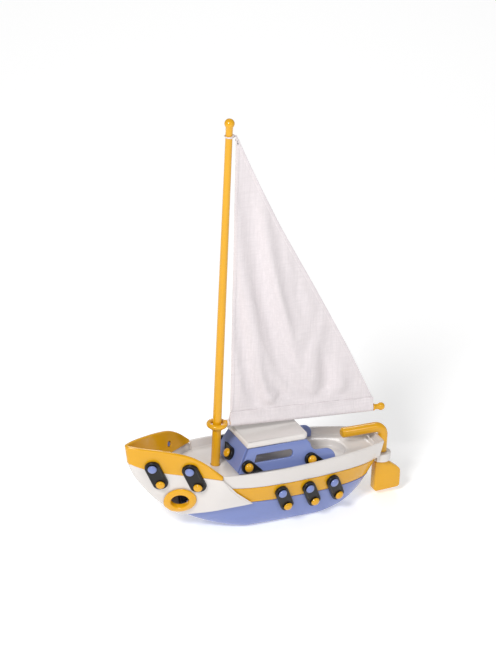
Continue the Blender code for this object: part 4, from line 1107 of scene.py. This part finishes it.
def squarish(radius, power, count):
    """A round outline pressed towards a square, with the same width."""
    points = []
    for a in spread(0, 2 * math.pi, count + 1)[:-1]:
        c, s = math.cos(a), math.sin(a)
        grow = (abs(c) ** power + abs(s) ** power) ** (-1 / power)
        points.append((radius * c * grow, radius * s * grow))
    return points


def build_tiller():
    bend = TILLER_BEND
    corner = [(RUDDER_X - bend + bend * math.sin(a), 0.0, TILLER_Z - bend + bend * math.cos(a))
              for a in spread(0, math.pi / 2, 14)]
    tip = [(TILLER_TIP_X + d, 0.0, TILLER_Z) for d in (0.0, 0.05, 0.3, 0.75, 1.35, 2.1)]
    straight = [(x, 0.0, TILLER_Z) for x in spread(TILLER_TIP_X + 4, RUDDER_X - bend - 1, 12)]
    leg = [(RUDDER_X, 0.0, z) for z in spread(TILLER_Z - bend - 1, LUG_HIGH + 0.5, 8)]
    path = tip + straight + corner + leg
    scales = [0.55, 0.66, 0.8, 0.91, 0.98, 1.0] + [1.0] * (len(path) - 6)
    bar = swept(path, squarish(TILLER_R, 2.5, 40), scales)
    shaft_low = BLADE_LOW_CORNER.z + 10
    shaft_high = LUG_HIGH + 2
    shaft = turned([(0.0, shaft_high), (SHAFT_R, shaft_high), (SHAFT_R, shaft_low), (0.0, shaft_low)], 32)
    shaft = moved(shaft, Matrix.Translation((RUDDER_X, 0, 0)))
    piece("fine_tiller", mesh_from("fine_tiller", merged(bar, shaft)), yellow, "rudder", ["tiller"])


def build_blade():
    fore, low = BLADE_LOW_CORNER.x, BLADE_LOW_CORNER.z
    aft, high = BLADE_HIGH_CORNER.x, BLADE_HIGH_CORNER.z
    round_low, round_aft = 2.4, 4.5
    outline = arc((fore + round_low, low + round_low), round_low, 180, 270, 10)
    outline += arc((aft - round_low, low + 0.8 + round_low), round_low, 270, 360, 10)
    outline += arc((aft - round_aft, high - 6.7 - round_aft), round_aft, 0, 62, 10)
    outline += arc((RUDDER_X + 3.0, high - 1.5), 1.5, 62, 90, 4)
    outline += arc((fore + 1.2, high - 1.2), 1.2, 90, 180, 6)
    mesh = plate([outline], BLADE_THICK, 0.9)
    turn = Matrix.Translation((0, BLADE_THICK / 2 * MM, 0)) @ Matrix.Rotation(math.pi / 2, 4, "X")
    mesh.transform(turn)
    piece("fine_rudder_blade", mesh, yellow, "rudder", ["rudder_blade"])


# Sail -----------------------------------------------------------------------------------------------------

SEAM_RISE = 8.2
# The leech's hollow from the clew (0) up to the head (1): full below, hollow above.
LEECH_HOLLOW = ((0.0, 0.0), (0.2, -0.9), (0.42, 0.2), (0.7, 2.1), (0.88, 1.2), (1.0, 0.0))
# The distance between the cloth's points, and between its rows as a share of that.
CLOTH_GRID, GRID_ROW = 2.4, 0.866
CLOTH_THICK = 0.35
SLEEVE_R = 2.75
# Long folds that run down from the head: how far aft each leans, its width, its height and where it fades.
LONG_FOLDS = ((66.0, 4.5, -3.2, 0.02, 0.75), (48.0, 4.0, 2.4, 0.0, 0.6), (30.0, 5.0, -1.8, 0.0, 0.5),
              (88.0, 5.0, 2.2, 0.02, 0.5), (16.0, 3.5, 1.4, 0.0, 0.45))
HEM_WIDTH = 2.6
SLACK = 0.012
SETTLE_SCALE, SETTLE_FRAMES = 10.0, 45
CLOTH_MASS, STRETCH_STIFFNESS, SHEAR_STIFFNESS, BEND_STIFFNESS, CLOTH_DAMPING = 0.25, 60.0, 12.0, 1.2, 12.0
STITCH_SPACING, STITCH_LENGTH = 2.1, 1.35


def sail_outline():
    """The cut of the sail from the seam on its sleeve up to the head, with a hollow leech."""
    tack, clew = on_boom(SAIL_TACK_X, SEAM_RISE), on_boom(SAIL_CLEW_X - 0.6, SEAM_RISE)
    head = Vector((SAIL_HEAD[0], 0.0, SAIL_HEAD[1]))
    foot = [tack.lerp(clew, t) for t in spread(0, 1, 50)]
    chord = head - clew
    inward = Vector((-chord.z, 0.0, chord.x)).normalized()
    if inward.dot(tack - clew) < 0:
        inward = -inward
    hollow = fair(LEECH_HOLLOW)
    leech = [clew + chord * t + inward * hollow(t) for t in spread(0, 1, 100)]
    luff = [head.lerp(tack, t) for t in spread(0, 1, 92)]
    return foot, leech, luff


def sail_grid(outline, spacing):
    """Triangles over the sail's cut, with even points inside it."""
    points = [(p.x, p.z) for p in outline]
    edges = [(i, (i + 1) % len(points)) for i in range(len(points))]
    inside = []
    low_x, high_x = min(p[0] for p in points), max(p[0] for p in points)
    low_z, high_z = min(p[1] for p in points), max(p[1] for p in points)
    rows = int((high_z - low_z) / (spacing * GRID_ROW)) + 1
    for row in range(rows):
        z = low_z + (row + 0.5) * spacing * GRID_ROW
        shift = spacing / 2 if row % 2 else 0.0
        for column in range(int((high_x - low_x) / spacing) + 2):
            p = Vector((low_x + column * spacing + shift, z))
            gap = min((p - Vector(q)).length for q in points)
            if gap > spacing * 0.62 and contains(points, p):
                inside.append((p.x, p.y))
    verts, _, faces, *_ = delaunay_2d_cdt([Vector(p) for p in points + inside], edges, [], 1, 1e-5)
    return [(v.x, v.y) for v in verts], [tuple(f) for f in faces]


def flat_cut(foot, leech, luff):
    """The panel's flat size in metres: width and length with slack and turned hems, area with slack only."""
    outline = foot[:-1] + leech[:-1] + luff[:-1]
    ring = zip(outline, outline[1:] + outline[:1])
    area = abs(sum(p.x * q.z - q.x * p.z for p, q in ring)) / 2
    ease = 1 + SLACK
    width = (foot[-1] - foot[0]).length * ease + 2 * HEM_WIDTH
    length = (luff[0] - luff[-1]).length * ease + HEM_WIDTH
    return width * MM, length * MM, area * ease ** 2 * MM ** 2


def contains(polygon, p):
    inside = False
    for (x0, z0), (x1, z1) in zip(polygon, polygon[1:] + polygon[:1]):
        if (z0 > p.y) != (z1 > p.y) and p.x < x0 + (p.y - z0) * (x1 - x0) / (z1 - z0):
            inside = not inside
    return inside


def first_folds(x, share):
    """Where the slack lies before the cloth settles: long folds from the head and short ones at the seam."""
    long_folds = 0.0
    for lean, width, height, low, high in LONG_FOLDS:
        line = SAIL_HEAD[0] + lean * (1 - share)
        fade = math.sin(math.pi * min(max((share - low) / (high - low), 0.0), 1.0)) ** 0.7
        long_folds += height * math.exp(-((x - line) / width) ** 2) * fade
    ripple = 2.2 * math.sin(x / 4.6 + 0.7) + 1.6 * math.sin(x / 2.9 + 2.0 + share * 14)
    short = math.exp(-share * 8.0) * ripple
    belly = 5.0 * math.sin(math.pi * share) * math.sin(math.pi * min(max((x + 42) / 80, 0.0), 1.0))
    return long_folds + short * min(share * 30, 1.0) - belly


def settle(mesh, flat, pinned):
    """Lets the cloth hang from the pinned points, enlarged, with its slack as its rest shape."""
    scale = SETTLE_SCALE
    mesh.transform(Matrix.Scale(scale, 4))
    thing = linked("settling", mesh)
    group = thing.vertex_groups.new(name="pinned")
    for index, weight in pinned.items():
        group.add([index], weight, "REPLACE")
    thing.shape_key_add(name="start")
    rest = thing.shape_key_add(name="rest")
    centre = Vector((SAIL_TACK_X, 0.0, on_boom(SAIL_TACK_X, SEAM_RISE).z))
    for point, (x, z) in zip(rest.data, flat):
        place = centre + (Vector((x, 0.0, z)) - centre) * (1 + SLACK)
        point.co = place * MM * scale
    modifier = thing.modifiers.new("Cloth", "CLOTH")
    settings = modifier.settings
    settings.quality = 7
    settings.mass = CLOTH_MASS
    settings.tension_stiffness = settings.compression_stiffness = STRETCH_STIFFNESS
    settings.shear_stiffness = SHEAR_STIFFNESS
    settings.bending_stiffness = BEND_STIFFNESS
    settings.tension_damping = settings.compression_damping = settings.shear_damping = CLOTH_DAMPING
    settings.bending_damping = 2.0
    settings.air_damping = 4.0
    settings.vertex_group_mass = "pinned"
    settings.rest_shape_key = rest
    modifier.collision_settings.use_self_collision = False
    scene = bpy.context.scene
    modifier.point_cache.frame_start, modifier.point_cache.frame_end = 1, SETTLE_FRAMES
    for number in range(1, SETTLE_FRAMES + 1):
        scene.frame_set(number)
    result = bpy.data.meshes.new_from_object(thing.evaluated_get(bpy.context.evaluated_depsgraph_get()))
    scene.frame_set(1)
    bpy.data.objects.remove(thing, do_unlink=True)
    result.transform(Matrix.Scale(1 / scale, 4))
    return result


def build_sail():
    foot, leech, luff = sail_outline()
    outline = foot[:-1] + leech[:-1] + luff[:-1]
    flat, faces = sail_grid(outline, CLOTH_GRID)
    low, high = foot[0].z, SAIL_HEAD[1]
    pinned = {}
    seam = Vector((foot[-1].x - foot[0].x, foot[-1].z - foot[0].z)).normalized()
    edges = [(p.x, p.z) for p in luff + leech]
    points = []
    for i, (x, z) in enumerate(flat):
        share = min(max((z - low) / (high - low), 0.0), 1.0)
        above_seam = abs((Vector((x, z)) - Vector((foot[0].x, foot[0].z))).cross(seam))
        to_edge = min(math.dist((x, z), edge) for edge in edges)
        if above_seam < 0.3 or to_edge < 0.1:
            pinned[i] = 1.0
        out = first_folds(x, share) * min(above_seam / 3.0, 1.0) * min(0.12 + to_edge / 9.0, 1.0)
        points.append(Vector((x, out, z)) * MM)
    mesh = bpy.data.meshes.new("fine_sail")
    mesh.from_pydata(points, [], faces)
    mesh = settle(mesh, flat, pinned)
    surface = [v.co / MM for v in mesh.vertices]
    sail = piece("fine_sail", mesh, cloth, "boom", ["sail"])
    rounding = sail.modifiers.new("Smooth", "SUBSURF")
    rounding.levels = rounding.render_levels = 1
    solid = sail.modifiers.new("Thickness", "SOLIDIFY")
    solid.thickness = CLOTH_THICK * MM
    solid.offset = 0.0
    mesh.shade_smooth()
    return sail, flat, surface, (foot, leech, luff)


def ribbon(path, width_dirs, width, thick):
    """A flat strip of folded cloth along a path. width_dirs points across it at each place."""
    loops = []
    for i, (p, across) in enumerate(zip(path, width_dirs)):
        before, after = path[max(i - 1, 0)], path[min(i + 1, len(path) - 1)]
        normal = (after - before).normalized().cross(across).normalized()
        section = [(0.0, 0.0), (0.0, thick * 0.6), (width * 0.12, thick), (width * 0.88, thick),
                   (width, thick * 0.6), (width, 0.0), (width, -thick * 0.6), (width * 0.88, -thick),
                   (width * 0.12, -thick), (0.0, -thick * 0.6)]
        loops.append([p + across * a + normal * b for a, b in section])
    return lofted(loops)


def corded(path, radius, count=8):
    """A round thread along a path."""
    loops = []
    for i, p in enumerate(path):
        before, after = path[max(i - 1, 0)], path[min(i + 1, len(path) - 1)]
        run = (after - before).normalized()
        side = run.cross(Vector((0.31, 0.94, 0.12))).normalized()
        other = run.cross(side)
        loops.append([p + side * a + other * b for a, b in circle(radius, count)])
    return lofted(loops)


def stitches(path, spacing, length, radius, lift):
    """A row of separate stitches along a path, each one a short thread that dips at both ends."""
    shapes = []
    lengths = [0.0]
    for a, b in zip(path, path[1:]):
        lengths.append(lengths[-1] + (b - a).length)
    start = spacing

    def spot(reach):
        for i, far in enumerate(lengths[1:]):
            if reach <= far:
                t = (reach - lengths[i]) / max(far - lengths[i], 1e-6)
                return path[i].lerp(path[i + 1], t)
        return path[-1]

    while start + length < lengths[-1]:
        run = [spot(start + length * t) + lift * (0.25 + 0.75 * math.sin(math.pi * t))
               for t in spread(0, 1, 5)]
        shapes.append(corded(run, radius, 5))
        start += spacing
    return merged(*shapes)


def build_sleeve():
    """The cloth sleeve round the boom, closed by a seam above it, with small gathers."""
    steps = 150
    loops = []
    for i in range(steps):
        t = i / (steps - 1)
        x = SAIL_TACK_X + (SAIL_CLEW_X - SAIL_TACK_X) * t
        gather = 0.22 * math.sin(x * 1.15 + 1.2 * math.sin(x * 0.21)) + 0.16 * math.sin(x * 2.3)
        sway = 0.35 * math.sin(x * 0.33 + 0.5)
        r = SLEEVE_R + 0.15 * gather
        loop = []
        for rise, out in sleeve_section(r, gather):
            loop.append(on_boom(x, rise, out + sway * max(rise, 0.0) / SEAM_RISE))
        loops.append(loop)
    shape = lofted(loops)
    name = "fine_sail_sleeve"
    return piece(name, mesh_from(name, shape, 60.0), cloth, "boom")


def sleeve_section(r, gather):
    """The sleeve's section: round below the boom and drawn together to a flat hem above it."""
    half_hem = 0.8
    points = []
    for a in spread(-130.0, 130.0, 34):
        angle = math.radians(a)
        points.append((-r * math.cos(angle), r * math.sin(angle)))
    rise_from = r * 0.64
    right = [(rise_from + (SEAM_RISE - rise_from) * t,
              half_hem + (r * 0.766 - half_hem) * (1 - t) ** 2.4 + 0.12 * gather * math.sin(math.pi * t))
             for t in spread(0.0, 1.0, 9)[1:]]
    left = [(rise, -out + 0.24 * gather * math.sin(math.pi * (rise - rise_from) / (SEAM_RISE - rise_from)))
            for rise, out in reversed(right)]
    top = [(SEAM_RISE + 0.35, 0.2), (SEAM_RISE + 0.35, -0.2)]
    return points + right + top + left


def surface_at(flat, surface):
    """A rule from a place on the sail's cut to the settled cloth."""

    def place(x, z):
        best = sorted(range(len(flat)), key=lambda i: (flat[i][0] - x) ** 2 + (flat[i][1] - z) ** 2)[:3]
        weights = [1 / (math.dist(flat[i], (x, z)) + 0.05) ** 2 for i in best]
        total = sum(weights)
        return sum((surface[i] * w for i, w in zip(best, weights)), Vector()) / total

    return place


def build_stitching(name, path, radius, lift):
    """The same row of stitches on both faces of the cloth."""
    rows = [stitches(path, STITCH_SPACING, STITCH_LENGTH, radius, Vector((0, side * lift, 0)))
            for side in (-1, 1)]
    return piece("sail_stitching_" + name, mesh_from("stitches", merged(*rows), 60.0), thread, "boom")


def build_trims(flat, surface, leech, luff):
    """Luff and leech hems with their stitching, and the stitching of the seam at the foot."""
    place = surface_at(flat, surface)
    inside = Vector((10.0, 0.0, 150.0))
    made = []
    for name, line in (("luff", luff), ("leech", leech)):
        edge = [place(p.x, p.z) for p in line[2:-1]]
        across = []
        for i, p in enumerate(edge):
            run = edge[min(i + 1, len(edge) - 1)] - edge[max(i - 1, 0)]
            side = run.cross(Vector((0, 1, 0))).normalized()
            if side.dot(inside - p) < 0 and name == "luff" or (name == "leech" and side.x > 0):
                side = -side
            across.append(side)
        inner = [place(p.x + a.x * HEM_WIDTH, p.z + a.z * HEM_WIDTH) for p, a in zip(line[2:-1], across)]
        across = [(q - p).normalized() for p, q in zip(edge, inner)]
        shape = ribbon(edge, across, HEM_WIDTH, 0.42)
        made.append(piece("fine_sail_hem_" + name, mesh_from("hem", shape, 60.0), cloth, "boom"))
        middle = [p + a * HEM_WIDTH * 0.78 for p, a in zip(edge, across)]
        made.append(build_stitching(name, middle, 0.13, 0.5))
    seam = [on_boom(x, SEAM_RISE - 1.1) for x in spread(SAIL_TACK_X + 1.0, SAIL_CLEW_X - 1.5, 60)]
    return made + [build_stitching("foot", seam, 0.14, 0.75)]


def build_tack_tie():
    """Thread drawn from the sail's tack down to the boom just behind the mast's ring."""
    x = SAIL_TACK_X - 0.9
    wraps = []
    for turn in range(3):
        ring = [on_boom(x - 0.5 * turn, (BOOM_R + 0.32) * math.cos(a), (BOOM_R + 0.32) * math.sin(a))
                for a in spread(0.0, 2 * math.pi, 29)]
        wraps.append(corded(ring, 0.32))
    ends = [on_boom(x + 0.2, BOOM_R), on_boom(x + 0.5, 4.6, -0.6), on_boom(x + 1.6, SEAM_RISE + 3.0, -0.4),
            on_boom(x + 1.7, SEAM_RISE + 7.5, -0.5)]
    wraps.append(corded(ends, 0.3))
    return piece("sail_tack_tie", mesh_from("tie", merged(*wraps), 60.0), thread, "boom")


HEAD_LOOP_R, HEAD_LOOP_THREAD = 3.15, 0.34


def build_head_loop():
    """Doubled thread from the sail's head round the mast."""
    strands = []
    for lift, tilt in ((0.35, 0.10), (-0.45, -0.06)):
        ring = [Vector((MAST_X + HEAD_LOOP_R * math.cos(a), HEAD_LOOP_R * math.sin(a),
                        SAIL_HEAD[1] - 0.9 + lift + tilt * HEAD_LOOP_R * math.cos(a)))
                for a in spread(0.35, 2 * math.pi - 0.35, 44)]
        eye = Vector((SAIL_HEAD[0] + 0.6, 0.0, SAIL_HEAD[1] - 1.6 + lift * 0.3))
        strands.append(corded([eye] + ring + [eye + Vector((0.1, 0.1, 0))], HEAD_LOOP_THREAD))
    name = "fine_sail_head_loop"
    return piece(name, mesh_from(name, merged(*strands), 60.0), thread, "boom", ["sail_head_loop"])


# Setting --------------------------------------------------------------------------------------------------

CAMERA_AZIMUTH, CAMERA_ELEVATION, CAMERA_ROLL = 25.5, 25.5, -2.6
CAMERA_DISTANCE = 2.5
VIEW_HEIGHT = 0.478
AIM_POINT = Vector((-0.018, 0.0, 0.0386))
AIM_RIGHT, AIM_DOWN = 0.0072, 0.0978
# Each lamp's name, its place, the point that it faces, its width and its power.
LAMPS = (("key", (-1.15, -0.95, 1.3), (0, 0, 0.1), 0.45, 23),
         ("window", (0.7, -1.5, 1.0), (0, 0, 0.1), 0.4, 5),
         ("rim", (0.6, 1.3, 1.3), (0, 0, 0.12), 0.6, 6))
WORLD_LIGHT, FLOOR_GLOW, FLOOR_REACH = 0.33, 0.32, 3.0


def area_light(name, place, target, size, power):
    lamp = bpy.data.lights.new(name, "AREA")
    lamp.shape = "DISK"
    lamp.size = size
    lamp.energy = power
    thing = linked(name, lamp)
    thing.location = place
    thing.rotation_euler = (Vector(target) - Vector(place)).to_track_quat("-Z", "Y").to_euler()


def build_camera():
    azimuth, elevation, roll = (math.radians(a) for a in (CAMERA_AZIMUTH, CAMERA_ELEVATION, CAMERA_ROLL))
    back = Vector((-math.sin(azimuth) * math.cos(elevation), -math.cos(azimuth) * math.cos(elevation),
                   math.sin(elevation)))
    level = Vector((math.cos(azimuth), -math.sin(azimuth), 0.0))
    upward = back.cross(level)
    right = level * math.cos(roll) - upward * math.sin(roll)
    up = upward * math.cos(roll) + level * math.sin(roll)
    lens = bpy.data.cameras.new("camera")
    lens.sensor_fit = "VERTICAL"
    lens.sensor_height = 24.0
    lens.lens = CAMERA_DISTANCE / VIEW_HEIGHT * lens.sensor_height
    camera = linked("camera", lens)
    place = AIM_POINT + back * CAMERA_DISTANCE - right * AIM_RIGHT + up * AIM_DOWN
    camera.matrix_world = frame_matrix(place, right, up, back)
    bpy.context.scene.camera = camera


def build_world():
    world = bpy.context.scene.world or bpy.data.worlds.new("world")
    bpy.context.scene.world = world
    world.use_nodes = True
    background = world.node_tree.nodes["Background"]
    background.inputs["Color"].default_value = (1.0, 1.0, 1.0, 1.0)
    background.inputs["Strength"].default_value = WORLD_LIGHT


def build_floor():
    """Plain pale paper that gives off a little light of its own."""
    reach = FLOOR_REACH
    mesh = bpy.data.meshes.new("floor")
    mesh.from_pydata([(-reach, -reach, 0), (reach, -reach, 0), (reach, reach, 0), (-reach, reach, 0)], [],
                     [(0, 1, 2, 3)])
    floor = linked("floor", mesh)
    floor.location.z = cad_low.z
    paper = Shader("floor_paper")
    paper.into("Base Color", paper.ramp(paper.noise(400.0), (0.90, 0.90, 0.90, 1), (0.92, 0.92, 0.92, 1)))
    paper.set(Roughness=0.9, Emission_Color=(1.0, 1.0, 1.0, 1.0), Emission_Strength=FLOOR_GLOW)
    mesh.materials.append(paper.material)


# The boat, piece by piece ---------------------------------------------------------------------------------

build_hull_bottom()
build_side_band("port", -1)
build_side_band("starboard", 1)
build_bow()
build_deck_tub()
build_cabin()
build_clips()
build_hawse_ring("port", -1)
build_hawse_ring("starboard", 1)
build_mast()
build_boom()
build_tiller()
build_blade()
sail, sail_cut, sail_surface, (sail_foot, sail_leech, sail_luff) = build_sail()
trims = [build_sleeve(), build_tack_tie(), build_head_loop()]
trims += build_trims(sail_cut, sail_surface, sail_leech, sail_luff)
flat_width, flat_length, flat_area = flat_cut(sail_foot, sail_leech, sail_luff)

build_camera()
for lamp_settings in LAMPS:
    area_light(*lamp_settings)
build_world()
build_floor()
bpy.context.scene.view_settings.view_transform = "Standard"
